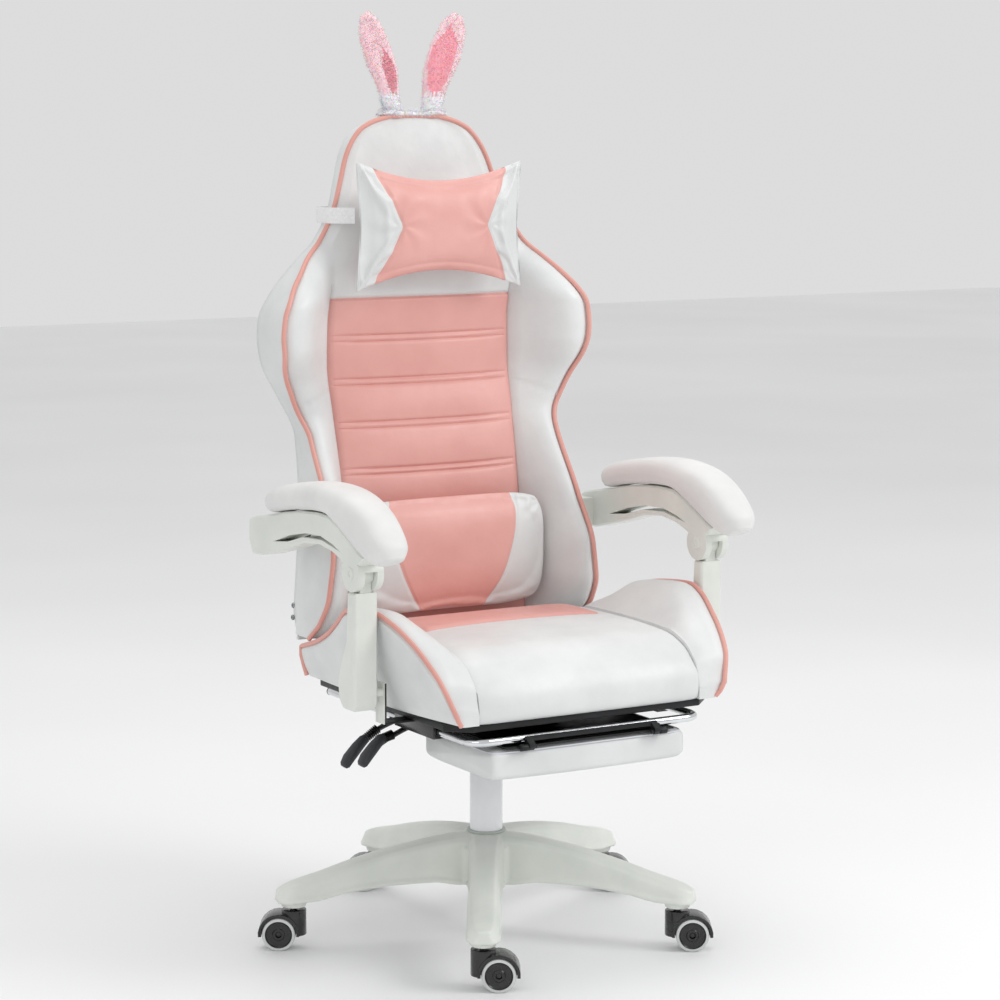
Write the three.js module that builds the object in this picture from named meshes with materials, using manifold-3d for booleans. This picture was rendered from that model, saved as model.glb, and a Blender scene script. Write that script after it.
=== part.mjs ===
// A gaming chair: star base on twin-wheel casters, gas lift, bucket seat, reclining back with linked
// armrests, loose head and lumbar pillows, a pair of plush ears, and a footrest that slides and flips out.
// Millimetres, +Z up, the sitter faces -Y and +X is the sitter's left.
import * as THREE from "three";
import { mergeVertices } from "three/addons/utils/BufferGeometryUtils.js";
import Module from "manifold-3d";

const wasm = await Module();
wasm.setup();

// ---------------------------------------------------------------- driving dimensions
// The column stands at this place, so that the origin lies under the middle of the whole chair.
const columnPlace = { x: 8, y: -16 };
const gap = 0.4; // between two fixed pieces that touch
const runGap = 0.6; // around a piece that turns or slides

// Casters
const casterCount = 5;
const casterRadius = 301; // swivel axis to column
const firstArmDeg = -30.75; // front arm, turned about the column from -Y
const wheelRadius = 25;
const wheelWidth = 17;
const tyreThickness = 4.5;
const casterTrail = wheelRadius - 3; // swivel axis to wheel axle
const casterWeb = 7; // plate between the two wheels
const hoodRadius = wheelRadius + 6;
const hoodSleeve = 18.5; // radius of the upright housing round the stem
const axleRadius = 4;
const stemRadius = 5.5;
const socketZ = wheelRadius + 39; // lower face of the arm's caster socket
const stemFootZ = wheelRadius + 23;
const headingsDeg = [60, -120, -120, 60, 60]; // where each wheel trails at rest, about the column from -Y

// Star base
const socketRadius = 19;
const armTip = 26; // arm beyond the socket axis
const armHalfWidth = 25;
const armRootHalfWidth = 31;
const hubTopZ = socketZ + 94;
const hubBottomZ = socketZ + 16;

// Gas lift
const seatBottomZ = 394; // underside of the upholstery with the lift down
const columnRadius = 25;
const columnWall = 3;
const collarRadius = columnRadius + 7;
const columnBottomZ = hubBottomZ - 4;
const columnTopZ = seatBottomZ - 76;
const pistonRadius = 14; // moving cylinder
const pistonWall = 3;
const rodRadius = 4;
const pinTipRadius = 3; // release pin on top of the moving cylinder
const socketTubeZ = columnTopZ + 8; // lower end of the mechanism's taper socket

// Seat
const seatFrontY = -306;
const seatRearY = 125;
const seatCentreHalf = 184;
const boardInset = 14;
const boardOverhang = 36; // board past the centre cushion, under each bolster

// Under the seat
const boardThickness = 11;
const bracketThickness = 3;
const mechanismHeight = 33;
const mechanismHalfX = 75;
const mechanismFrontY = -95;
const mechanismRearY = 90;
const mechanismWall = 3;
const railZ = seatBottomZ - 27;
const railRadius = 6;
const railHalfWidth = seatCentreHalf + 6;
const railFrontY = seatFrontY + 13;
const railRearY = seatRearY + 18;
const railCorner = 24;
const guideLength = 116;

// Recline and arm linkage: the post and the back are the two equal sides of a parallelogram
const linkSpan = 307; // between the two lower pivots
const hinge = { y: seatRearY + 25, z: seatBottomZ + 44 };
const postFoot = { y: hinge.y - linkSpan, z: seatBottomZ + 31 };
const postRise = { y: -3, z: 174 }; // from a lower pivot to the upper one
const armTop = { y: postFoot.y + postRise.y, z: postFoot.z + postRise.z };
const armPivot = { y: hinge.y + postRise.y, z: hinge.z + postRise.z };
const armWidth = 40;
const armInnerX = seatCentreHalf + 88;
const armOuterX = armInnerX + armWidth;
const armPadHalfWidth = 35;
const knuckleRadius = 26;
const pinRadius = 6;
const tongueThickness = 18;

// Back
const backBottomZ = hinge.z + 19;
const backHeight = 775;
const backTopZ = backBottomZ + backHeight;
const frameHalf = seatCentreHalf - 34;
const panelHalf = frameHalf + 6; // centre panel
const footHalf = seatCentreHalf + 56; // half widths of the whole back, from the bottom up
const waistHalf = seatCentreHalf + 30;
const shoulderHalf = seatCentreHalf + 81;
const neckHalf = 148;
const crownHalf = 110;
const cushionDepth = 24; // front of the centre panel to the joint with the rear cover
const coverDepth = 25;
const frameTube = 7; // radius
const framePocket = 18;
const hingeEar = 6;

// Pillows
const headPillow = { halfX: neckHalf - 9, halfZ: 94, halfY: 37, z: backTopZ - 163, forward: 50 };
const lumbarPillow = { halfX: panelHalf + 12, halfZ: 84, halfY: 34, z: backBottomZ + 116, forward: 37 };

// Ears
const earHeight = 150;
const earBandHeight = 8;
const earBandHalf = 58;
const earBandDepth = 14;
const earForward = 7; // behind the piping at the back's top

// Footrest
const footHalfWidth = railHalfWidth - 29;
const footRearGap = 6; // to the mechanism behind it
const footThickness = 47;
const footFrontY = seatFrontY + 9;
const footRearY = mechanismFrontY - footRearGap;
const footTopZ = railZ - 12;
const flipAxis = { y: seatFrontY - 2, z: footTopZ + 2 };
const lugX = 105;
const lugWidth = 10;

// Levers
const leverAxisX = -60;
const leverZ = railZ - 1;
const leverRadius = 4;
const heightLever = { y: -25, reach: railHalfWidth + 65, drop: 76 };
const reclineLever = { y: -72, reach: railHalfWidth + 61, drop: 66 };

// ---------------------------------------------------------------- materials
const paint = (color, roughness, metalness = 0) =>
  new THREE.MeshStandardMaterial({ color, roughness, metalness });
const whiteLeather = paint(0xeeeff0, 0.45);
const pinkLeather = paint(0xe9a39a, 0.45);
const whiteNylon = paint(0xdfe3dd, 0.4);
const softArm = paint(0xeceef0, 0.5);
const blackPlastic = paint(0x1b1b1c, 0.35);
const blackSteel = paint(0x17181a, 0.5, 0.4);
const chrome = paint(0xd8dadc, 0.12, 1);
const whiteSteel = paint(0xe4e6ec, 0.3, 0.2);
const steel = paint(0x9a9c9e, 0.35, 1);
const plush = paint(0xf7c3c8, 0.95);
const whitePlush = paint(0xf4eef1, 0.95);

// ---------------------------------------------------------------- geometry helpers
function toSolid(geometry) {
  const plain = (geometry.index ? geometry.toNonIndexed() : geometry).clone();
  for (const name of Object.keys(plain.attributes)) {
    if (name !== "position") plain.deleteAttribute(name);
  }
  const merged = mergeVertices(plain, 1e-4);
  return new wasm.Manifold(
    new wasm.Mesh({
      numProp: 3,
      vertProperties: merged.attributes.position.array,
      triVerts: new Uint32Array(merged.index.array),
    }),
  );
}

function toGeometry(solid) {
  const mesh = solid.getMesh();
  const geometry = new THREE.BufferGeometry();
  const positions = new Float32Array(mesh.numVert * 3);
  for (let i = 0; i < mesh.numVert; i++) {
    const start = i * mesh.numProp;
    positions.set(mesh.vertProperties.subarray(start, start + 3), i * 3);
  }
  geometry.setAttribute("position", new THREE.BufferAttribute(positions, 3));
  geometry.setIndex(new THREE.BufferAttribute(new Uint32Array(mesh.triVerts), 1));
  const flat = geometry.toNonIndexed();
  flat.computeVertexNormals();
  return flat;
}

function join(first, ...rest) {
  return toGeometry(rest.reduce((sum, g) => sum.add(toSolid(g)), toSolid(first)));
}

function cut(body, ...tools) {
  return toGeometry(tools.reduce((rest, g) => rest.subtract(toSolid(g)), toSolid(body)));
}

function common(a, b) {
  return toGeometry(toSolid(a).intersect(toSolid(b)));
}

function box(x0, x1, y0, y1, z0, z1) {
  const geometry = new THREE.BoxGeometry(x1 - x0, y1 - y0, z1 - z0);
  return geometry.translate((x0 + x1) / 2, (y0 + y1) / 2, (z0 + z1) / 2);
}

// A cylinder between two points.
function bar(radius, from, to, sides = 20) {
  const a = new THREE.Vector3(...from);
  const b = new THREE.Vector3(...to);
  const along = b.clone().sub(a);
  const geometry = new THREE.CylinderGeometry(radius, radius, along.length(), sides);
  const up = new THREE.Vector3(0, 1, 0);
  geometry.applyQuaternion(new THREE.Quaternion().setFromUnitVectors(up, along.normalize()));
  return geometry.translate((a.x + b.x) / 2, (a.y + b.y) / 2, (a.z + b.z) / 2);
}

// A turned solid about the Z axis from a closed [radius, z] outline that runs upwards on the outside.
function turned(outline, sides = 20) {
  const points = outline.map(([r, z]) => new THREE.Vector2(r, z));
  points.push(points[0].clone());
  return new THREE.LatheGeometry(points, sides).rotateX(Math.PI / 2);
}

// A closed skin over rings of equal length, with a fan over each end.
function loft(rings) {
  const count = rings[0].length;
  const positions = [];
  for (const ring of rings) {
    for (const p of ring) positions.push(...p);
  }
  for (const ring of [rings[0], rings[rings.length - 1]]) {
    for (const axis of [0, 1, 2]) {
      positions.push(ring.reduce((sum, p) => sum + p[axis], 0) / count);
    }
  }
  const index = [];
  const firstCentre = rings.length * count;
  for (let r = 0; r < rings.length - 1; r++) {
    for (let i = 0; i < count; i++) {
      const a = r * count + i;
      const b = r * count + ((i + 1) % count);
      index.push(a, b, b + count, a, b + count, a + count);
    }
  }
  const last = (rings.length - 1) * count;
  for (let i = 0; i < count; i++) {
    const next = (i + 1) % count;
    index.push(firstCentre, next, i);
    index.push(firstCentre + 1, last + i, last + next);
  }
  const geometry = new THREE.BufferGeometry();
  geometry.setAttribute("position", new THREE.BufferAttribute(new Float32Array(positions), 3));
  geometry.setIndex(index);
  const solid = toSolid(geometry);
  if (solid.volume() < 0) {
    for (let i = 0; i < index.length; i += 3) {
      [index[i + 1], index[i + 2]] = [index[i + 2], index[i + 1]];
    }
    geometry.setIndex(index);
  }
  return geometry;
}

// A prism along X from a shape whose two axes are Y and Z.
function prismX(shape, x0, x1, bevel = 0) {
  const geometry = new THREE.ExtrudeGeometry(shape, {
    depth: x1 - x0 - 2 * bevel,
    bevelEnabled: bevel > 0,
    bevelThickness: bevel,
    bevelSize: bevel,
    bevelOffset: -bevel,
    bevelSegments: 1,
    curveSegments: 8,
  });
  const turn = new THREE.Matrix4().set(0, 0, 1, x0 + bevel, 1, 0, 0, 0, 0, 1, 0, 0, 0, 0, 0, 1);
  return geometry.applyMatrix4(turn);
}

function outline(points) {
  return new THREE.Shape(points.map(([u, v]) => new THREE.Vector2(u, v)));
}

// A round rod along a smooth path.
function rod(points, radius, steps, sides = 12, tension = 0.5) {
  const path = new THREE.CatmullRomCurve3(
    points.map((p) => new THREE.Vector3(...p)),
    false,
    "catmullrom",
    tension,
  );
  const circle = new THREE.Shape();
  circle.absarc(0, 0, radius, 0, Math.PI * 2, false);
  const section = outline(circle.getPoints(sides).slice(0, sides).map((p) => [p.x, p.y]));
  return new THREE.ExtrudeGeometry(section, { steps, extrudePath: path, bevelEnabled: false });
}

// A smooth function through [place, value] stations, monotone between them.
function through(stations) {
  const n = stations.length;
  const x = stations.map((s) => s[0]);
  const y = stations.map((s) => s[1]);
  const slope = x.slice(1).map((v, i) => (y[i + 1] - y[i]) / (v - x[i]));
  const tangent = x.map((_, i) => {
    if (i === 0) return slope[0];
    if (i === n - 1) return slope[n - 2];
    if (slope[i - 1] * slope[i] <= 0) return 0;
    return (2 * slope[i - 1] * slope[i]) / (slope[i - 1] + slope[i]);
  });
  return (at) => {
    if (at <= x[0]) return y[0];
    if (at >= x[n - 1]) return y[n - 1];
    const i = x.findIndex((v) => v > at) - 1;
    const h = x[i + 1] - x[i];
    const t = (at - x[i]) / h;
    const rise = y[i] * (1 + 2 * t) * (1 - t) ** 2 + y[i + 1] * t * t * (3 - 2 * t);
    return rise + h * (tangent[i] * t * (1 - t) ** 2 - tangent[i + 1] * t * t * (1 - t));
  };
}

// A rounded box section: points [u, v] round a centre, squarer as power grows.
function roundRing(halfU, halfV, power, count) {
  return Array.from({ length: count }, (_, i) => {
    const a = (2 * Math.PI * (i + 0.5)) / count;
    const c = Math.cos(a);
    const s = Math.sin(a);
    const k = (Math.abs(c) ** power + Math.abs(s) ** power) ** (-1 / power);
    return [halfU * c * k, halfV * s * k];
  });
}

function mesh(parent, name, geometry, material) {
  const made = new THREE.Mesh(geometry, material);
  made.name = name;
  parent.add(made);
  return made;
}

// ---------------------------------------------------------------- root and bodies
const chair = new THREE.Group();
chair.position.set(columnPlace.x, columnPlace.y, 0);
const sides = { left: 1, right: -1 }; // the sitter's left is +X

const mirrored = (side) => {
  const group = new THREE.Group();
  group.scale.x = side;
  chair.add(group);
  return group;
};
const sideGroup = { left: mirrored(sides.left), right: mirrored(sides.right) };

// ---------------------------------------------------------------- casters
function casterHood() {
  const half = wheelWidth + casterWeb / 2;
  const axleZ = wheelRadius;
  const cover = bar(hoodRadius, [-half, casterTrail, axleZ], [half, casterTrail, axleZ], 22);
  const below = box(-half - 1, half + 1, -60, 60, -20, axleZ - 3);
  const sleeve = bar(hoodSleeve, [0, 0, axleZ - 3], [0, 0, socketZ - 4], 18);
  const upper = cut(join(cut(cover, below), sleeve));
  const wheelRoom = [-1, 1].map((side) =>
    bar(
      wheelRadius + 1.5,
      [side * (casterWeb / 2), casterTrail, axleZ],
      [side * (half + 5), casterTrail, axleZ],
      20,
    ),
  );
  const stubs = bar(axleRadius, [-half + 3, casterTrail, axleZ], [half - 3, casterTrail, axleZ], 10);
  const webDisc = bar(9, [-casterWeb / 2, casterTrail, axleZ], [casterWeb / 2, casterTrail, axleZ], 10);
  const stemHole = bar(stemRadius + runGap, [0, 0, stemFootZ - runGap], [0, 0, socketZ + 5], 12);
  return cut(join(cut(upper, ...wheelRoom), webDisc, stubs), stemHole);
}

function casterWheel() {
  const bore = axleRadius + runGap;
  const faceDish = 1.5;
  return turned([
    [bore, 0],
    [wheelRadius - 3, 0],
    [wheelRadius, 3],
    [wheelRadius, wheelWidth - gap - 3],
    [wheelRadius - 3, wheelWidth - gap],
    [wheelRadius - tyreThickness, wheelWidth - gap],
    [wheelRadius - tyreThickness - 1, wheelWidth - gap - faceDish],
    [bore, wheelWidth - gap - faceDish / 2],
  ], 18);
}

function casterStem() {
  return turned([
    [0, stemFootZ],
    [stemRadius, stemFootZ],
    [stemRadius, socketZ - 3],
    [stemRadius + 3, socketZ - 1],
    [stemRadius + 3, socketZ - gap],
    [stemRadius, socketZ - gap],
    [stemRadius, socketZ + 18],
    [stemRadius - 1.5, socketZ + 20],
    [0, socketZ + 20],
  ], 12);
}

function onArm(k) {
  const angle = THREE.MathUtils.degToRad(firstArmDeg - (360 / casterCount) * k);
  return { angle, x: casterRadius * Math.sin(angle), y: -casterRadius * Math.cos(angle) };
}

for (let k = 0; k < casterCount; k++) {
  const place = onArm(k);
  const caster = new THREE.Group();
  caster.position.set(place.x, place.y, 0);
  chair.add(caster);
  const name = "caster_" + (k + 1);
  mesh(caster, name + "_stem", casterStem(), steel);
  const swivel = new THREE.Group();
  swivel.rotation.z = THREE.MathUtils.degToRad(headingsDeg[k] + 180);
  caster.add(swivel);
  mesh(swivel, name + "_hood", casterHood(), blackPlastic);
  for (const [side, sign] of [["a", 1], ["b", -1]]) {
    const wheel = casterWheel().rotateY((sign * Math.PI) / 2);
    wheel.translate(sign * (casterWeb / 2 + gap), casterTrail, wheelRadius);
    mesh(swivel, name + "_wheel_" + side, wheel, blackPlastic);
  }
}

// ---------------------------------------------------------------- star base
// A distance from the column as a share of the way from the hub's middle to the caster's socket.
const armRootR = 20;
const alongArm = (share) => armRootR + share * (casterRadius - armRootR);
const armHeight = (stations) => through(stations.map(([share, z]) => [alongArm(share), socketZ + z]));
const armTopLine = [[0, 93], [0.11, 92], [0.36, 83], [0.64, 66], [0.85, 49], [1.01, 37], [1.09, 28]];
const armBottomLine = [[0, 18], [0.11, 19], [0.25, 25], [0.46, 25], [0.71, 20], [0.91, 10], [1.09, 8]];
const pocketRoofLine = [[0.14, 76], [0.36, 69], [0.64, 52], [0.89, 34]];

function starArm() {
  const top = armHeight(armTopLine);
  const bottom = armHeight(armBottomLine);
  const places = [0, 0.18, 0.43, 0.68, 0.89, 1].map(alongArm);
  places.push(casterRadius + 0.65 * armTip, casterRadius + armTip);
  const rings = places.map((r) => {
    const nearTip = Math.max(0, r - casterRadius) / armTip;
    const root = Math.max(0, 1 - (r - armRootR) / 90);
    const half = (armHalfWidth + (armRootHalfWidth - armHalfWidth) * root) * (1 - 0.45 * nearTip ** 3);
    const high = top(r);
    const low = bottom(r);
    const rise = (high - low) / 2;
    return roundRing(half, rise, 3.2, 12).map(([u, v]) => [u, -r, low + rise + v]);
  });
  return loft(rings);
}

function starArmPocket() {
  const roof = armHeight(pocketRoofLine);
  const rings = [0.15, 0.43, 0.68, 0.86].map(alongArm).map((r) => {
    const half = armHalfWidth - 6;
    const top = roof(r);
    return [
      [-half, -r, socketZ - 14],
      [half, -r, socketZ - 14],
      [half, -r, top - 8],
      [half - 8, -r, top],
      [8 - half, -r, top],
      [-half, -r, top - 8],
    ];
  });
  return loft(rings);
}

function starBase() {
  const hub = turned([
    [0, hubBottomZ],
    [collarRadius + 12, hubBottomZ],
    [collarRadius + 15, hubBottomZ + 10],
    [collarRadius + 12, hubTopZ - 18],
    [collarRadius + 4, hubTopZ - 5],
    [collarRadius, hubTopZ],
    [0, hubTopZ],
  ], 24);
  let body = toSolid(hub);
  const arms = [];
  for (let k = 0; k < casterCount; k++) {
    const { angle, x, y } = onArm(k);
    arms.push(starArm().rotateZ(angle));
    arms.push(bar(socketRadius, [x, y, socketZ], [x, y, socketZ + 26], 18));
  }
  for (const arm of arms) body = body.add(toSolid(arm));
  for (let k = 0; k < casterCount; k++) {
    const { angle, x, y } = onArm(k);
    body = body.subtract(toSolid(starArmPocket().rotateZ(angle)));
    body = body.subtract(toSolid(bar(stemRadius + gap, [x, y, socketZ - 5], [x, y, socketZ + 22], 12)));
  }
  const bore = bar(columnRadius + gap, [0, 0, hubBottomZ - 10], [0, 0, hubTopZ + 10], 24);
  return toGeometry(body.subtract(toSolid(bore)));
}
mesh(chair, "star_base", starBase(), whiteNylon);

// ---------------------------------------------------------------- gas lift
const columnInner = columnRadius - columnWall;
mesh(chair, "column_tube", turned([
  [rodRadius + runGap, columnBottomZ],
  [columnRadius, columnBottomZ],
  [columnRadius, columnTopZ],
  [columnInner, columnTopZ],
  [columnInner, columnBottomZ + 4],
  [rodRadius + runGap, columnBottomZ + 4],
]), whiteSteel);
mesh(chair, "column_guide_bush", turned([
  [pistonRadius + runGap, columnTopZ - 60],
  [columnInner - gap, columnTopZ - 60],
  [columnInner - gap, columnTopZ + gap],
  [columnRadius, columnTopZ + gap],
  [columnRadius - 2, columnTopZ + 4],
  [pistonRadius + runGap, columnTopZ + 4],
]), blackPlastic);
const bearingTop = columnBottomZ + 9;
mesh(chair, "thrust_bearing", turned([
  [rodRadius + runGap, columnBottomZ + 4 + gap],
  [12, columnBottomZ + 4 + gap],
  [12, bearingTop],
  [rodRadius + runGap, bearingTop],
], 16), steel);
mesh(chair, "piston_rod", turned([
  [0, columnBottomZ + 2],
  [rodRadius, columnBottomZ + 2],
  [rodRadius, bearingTop + gap],
  [9, bearingTop + gap],
  [9, bearingTop + 4],
  [rodRadius, bearingTop + 4],
  [rodRadius, columnTopZ + 4],
  [pistonRadius - pistonWall - runGap, columnTopZ + 4],
  [pistonRadius - pistonWall - runGap, columnTopZ + 12],
  [0, columnTopZ + 12],
], 16), steel);
const pistonTopZ = socketTubeZ + 30;
mesh(chair, "lift_cylinder", turned([
  [rodRadius + runGap, bearingTop + 10],
  [pistonRadius, bearingTop + 10],
  [pistonRadius, pistonTopZ],
  [pinTipRadius + runGap, pistonTopZ],
  [pinTipRadius + runGap, pistonTopZ - 9],
  [pistonRadius - pistonWall, pistonTopZ - 9],
  [pistonRadius - pistonWall, bearingTop + 14],
  [rodRadius + runGap, bearingTop + 14],
], 18), steel);
mesh(chair, "release_pin", bar(pinTipRadius, [0, 0, pistonTopZ - 12], [0, 0, pistonTopZ + 5], 12), steel);

// ---------------------------------------------------------------- seat board, mechanism, brackets, guides
const boardTopZ = seatBottomZ - gap;
const boardBottomZ = boardTopZ - boardThickness;
const bracketTopZ = boardBottomZ - gap;
const bracketBottomZ = bracketTopZ - bracketThickness;
const mechanismTopZ = bracketTopZ;
const boardHalf = seatCentreHalf + boardOverhang;

function seatBoard() {
  const corner = 30;
  const front = seatFrontY + boardInset;
  const rear = seatRearY - 5;
  const shape = outline([
    [-boardHalf, rear],
    [-boardHalf, front + corner],
    [corner - boardHalf, front],
    [boardHalf - corner, front],
    [boardHalf, front + corner],
    [boardHalf, rear],
  ]);
  const board = new THREE.ExtrudeGeometry(shape, { depth: boardThickness, bevelEnabled: false });
  return board.translate(0, 0, boardBottomZ);
}
mesh(chair, "seat_board", seatBoard(), blackSteel);

function mechanismHousing() {
  const wall = mechanismWall;
  const low = mechanismTopZ - mechanismHeight;
  const outer = box(-mechanismHalfX, mechanismHalfX, mechanismFrontY, mechanismRearY, low, mechanismTopZ);
  const inner = box(
    wall - mechanismHalfX,
    mechanismHalfX - wall,
    mechanismFrontY + wall,
    mechanismRearY - wall,
    low + wall,
    mechanismTopZ + 5,
  );
  const flange = box(
    -mechanismHalfX - 30,
    mechanismHalfX + 30,
    mechanismFrontY + 15,
    mechanismRearY - 15,
    mechanismTopZ - wall,
    mechanismTopZ,
  );
  const room = box(-mechanismHalfX + 1, mechanismHalfX - 1, -200, 200, 0, mechanismTopZ + 5);
  const tube = bar(pistonRadius + 8, [0, 0, socketTubeZ], [0, 0, pistonTopZ], 24);
  const bore = bar(pistonRadius + gap, [0, 0, socketTubeZ - 5], [0, 0, pistonTopZ + 5], 24);
  const slots = [heightLever.y, reclineLever.y].map((y) =>
    box(-mechanismHalfX - 1, -mechanismHalfX + wall + 1, y - 7, y + 7, leverZ - 8, leverZ + 8),
  );
  return cut(join(cut(outer, inner), cut(flange, room), tube), bore, ...slots);
}
mesh(chair, "mechanism_housing", mechanismHousing(), blackSteel);

const earX = frameHalf + hingeEar / 2 + runGap;
const bracketPlateX = armInnerX - 13;

function sideBracket() {
  const plateBack = postFoot.y + 18;
  const flange = box(
    earX,
    bracketPlateX + bracketThickness,
    postFoot.y - 10,
    plateBack,
    bracketBottomZ,
    bracketTopZ,
  );
  const runner = box(earX, earX + 34, postFoot.y, hinge.y + 12, bracketBottomZ, bracketTopZ);
  const post = box(
    bracketPlateX,
    bracketPlateX + bracketThickness,
    postFoot.y - 10,
    plateBack,
    bracketBottomZ,
    postFoot.z + 14,
  );
  const pin = bar(
    pinRadius,
    [bracketPlateX, postFoot.y, postFoot.z],
    [armOuterX - 8, postFoot.y, postFoot.z],
    16,
  );
  const ear = box(earX, earX + 4, hinge.y - 13, hinge.y + 12, bracketBottomZ, hinge.z);
  const boss = bar(13, [earX, hinge.y, hinge.z], [earX + 4, hinge.y, hinge.z], 20);
  const hingePin = bar(pinRadius, [frameHalf - 8, hinge.y, hinge.z], [earX + 4, hinge.y, hinge.z], 16);
  return join(flange, runner, post, pin, ear, boss, hingePin);
}

function footrestGuide() {
  const half = railRadius + 5;
  const front = railFrontY + 95;
  const rear = front + guideLength;
  const body = box(
    railHalfWidth - half,
    railHalfWidth + half,
    front,
    rear,
    railZ - railRadius - 4,
    bracketBottomZ - gap,
  );
  const bore = bar(
    railRadius + runGap,
    [railHalfWidth, front - 5, railZ],
    [railHalfWidth, rear + 5, railZ],
    16,
  );
  return cut(body, bore);
}

for (const side of Object.keys(sides)) {
  mesh(sideGroup[side], "side_bracket_" + side, sideBracket(), blackSteel);
  mesh(sideGroup[side], "footrest_guide_" + side, footrestGuide(), blackPlastic);
}

// ---------------------------------------------------------------- seat upholstery
const seatTop = through([
  [seatFrontY + 12, seatBottomZ + 51],
  [seatFrontY + 22, seatBottomZ + 62],
  [seatFrontY + 46, seatBottomZ + 81],
  [seatFrontY + 90, seatBottomZ + 94],
  [seatFrontY + 180, seatBottomZ + 97],
  [seatFrontY + 300, seatBottomZ + 95],
  [seatRearY - 50, seatBottomZ + 82],
  [seatRearY, seatBottomZ + 56],
]);

function seatCushion() {
  const front = [
    [seatFrontY + 8, seatBottomZ],
    [seatFrontY + 1, seatBottomZ + 12],
    [seatFrontY + 3, seatBottomZ + 36],
  ];
  const tops = [12, 22, 46, 90, 150, 220, 300, 345, 385, 405]
    .map((step) => seatFrontY + step)
    .filter((y) => y < seatRearY - 10)
    .map((y) => [y, seatTop(y)]);
  const rear = [
    [seatRearY - 8, seatTop(seatRearY)],
    [seatRearY, seatTop(seatRearY) - 10],
    [seatRearY, seatBottomZ],
  ];
  return prismX(outline([...front, ...tops, ...rear].reverse()), gap - seatCentreHalf, seatCentreHalf - gap);
}
mesh(chair, "seat_cushion", seatCushion(), whiteLeather);

// The side bolster: crest height and outer reach along the seat, measured from the front.
const bolsterCrest = through([
  [0, seatBottomZ + 22],
  [14, seatBottomZ + 58],
  [30, seatBottomZ + 78],
  [68, seatBottomZ + 109],
  [114, seatBottomZ + 134],
  [145, seatBottomZ + 142],
  [200, seatBottomZ + 138],
  [248, seatBottomZ + 130],
  [281, seatBottomZ + 110],
  [321, seatBottomZ + 85],
  [366, seatBottomZ + 65],
  [430, seatBottomZ + 46],
]);
const bolsterReach = through([
  [0, seatCentreHalf + 42],
  [16, seatCentreHalf + 55],
  [68, seatCentreHalf + 69],
  [145, seatCentreHalf + 83],
  [226, seatCentreHalf + 79],
  [281, seatCentreHalf + 71],
  [366, seatCentreHalf + 62],
  [430, seatCentreHalf + 55],
]);
const bolsterFoot = through([
  [0, seatCentreHalf + 29],
  [60, seatCentreHalf + 40],
  [200, seatCentreHalf + 52],
  [430, seatCentreHalf + 44],
]);

function seatBolster() {
  const steps = [0, 6, 16, 34, 60, 95, 130, 165, 215, 260, 300, 340, 385, 425];
  const inner = seatCentreHalf + gap;
  const rings = steps.map((step) => {
    const y = seatFrontY + 2 + step * ((seatRearY + 15 - seatFrontY - 2) / 425);
    const crest = bolsterCrest(step);
    const reach = bolsterReach(step);
    const foot = bolsterFoot(step);
    const seam = Math.min(seatTop(y) - 4, crest - 4);
    const mid = (inner + reach) / 2;
    return [
      [inner, y, seatBottomZ],
      [inner, y, seam],
      [mid - 8, y, seam + (crest - seam) * 0.72 + 3],
      [reach - 22, y, crest + 4],
      [reach - 7, y, crest + 2],
      [reach, y, crest - 7],
      [(reach + foot) / 2 + 1, y, (crest + seatBottomZ) / 2 - 6],
      [foot, y, seatBottomZ + 8],
      [foot - 8, y, seatBottomZ],
    ];
  });
  return loft(rings);
}
for (const side of Object.keys(sides)) {
  mesh(sideGroup[side], "seat_bolster_" + side, seatBolster(), whiteLeather);
}

// ---------------------------------------------------------------- back upholstery and frame
// Stations run from 0 at the bottom edge of the back to 1 at its top.
const backZ = (t) => backBottomZ + t * backHeight;
const backT = (z) => (z - backBottomZ) / backHeight;
const edgeX = through([
  [0, footHalf],
  [0.07, footHalf - 6],
  [0.15, footHalf - 14],
  [0.25, waistHalf + 3],
  [0.38, waistHalf],
  [0.46, waistHalf + 23],
  [0.53, shoulderHalf - 5],
  [0.58, shoulderHalf],
  [0.62, shoulderHalf - 3],
  [0.66, shoulderHalf - 18],
  [0.72, (shoulderHalf + neckHalf) / 2],
  [0.76, neckHalf + 27],
  [0.82, neckHalf],
  [0.88, (neckHalf + crownHalf) / 2 + 3],
  [0.92, crownHalf + 12],
  [0.95, crownHalf],
  [0.975, crownHalf - 17],
  [0.99, crownHalf - 40],
  [1, crownHalf - 70],
]);
// Depths are measured back from the recline hinge, so the whole back follows it.
const fromHinge = (stations) => through(stations.map(([t, y]) => [t, hinge.y + y]));
const edgeY = fromHinge([
  [0, -37],
  [0.035, -68],
  [0.09, -89],
  [0.15, -90],
  [0.25, -58],
  [0.38, 4],
  [0.43, 20],
  [0.48, 14],
  [0.56, -12],
  [0.63, -13],
  [0.69, 12],
  [0.75, 46],
  [0.85, 56],
  [1, 71],
]);
const panelY = fromHinge([
  [0, -13],
  [0.13, -2],
  [0.29, 14],
  [0.42, 34],
  [0.52, 50],
  [0.6, 49],
  [0.66, 41],
  [0.78, 40],
  [0.9, 56],
  [1, 71],
]);
const backSteps = [0, 0.03, 0.07, 0.12, 0.2, 0.28, 0.36, 0.43, 0.5, 0.56, 0.62, 0.67, 0.72, 0.76]
  .concat([0.82, 0.88, 0.93, 0.96, 0.985, 1]);
const wingTop = 0.76;
const jointY = (t) => panelY(t) + cushionDepth;
const coverY = (t) => jointY(t) + coverDepth;
const seamX = (t) => Math.min(panelHalf, edgeX(t));

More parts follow.
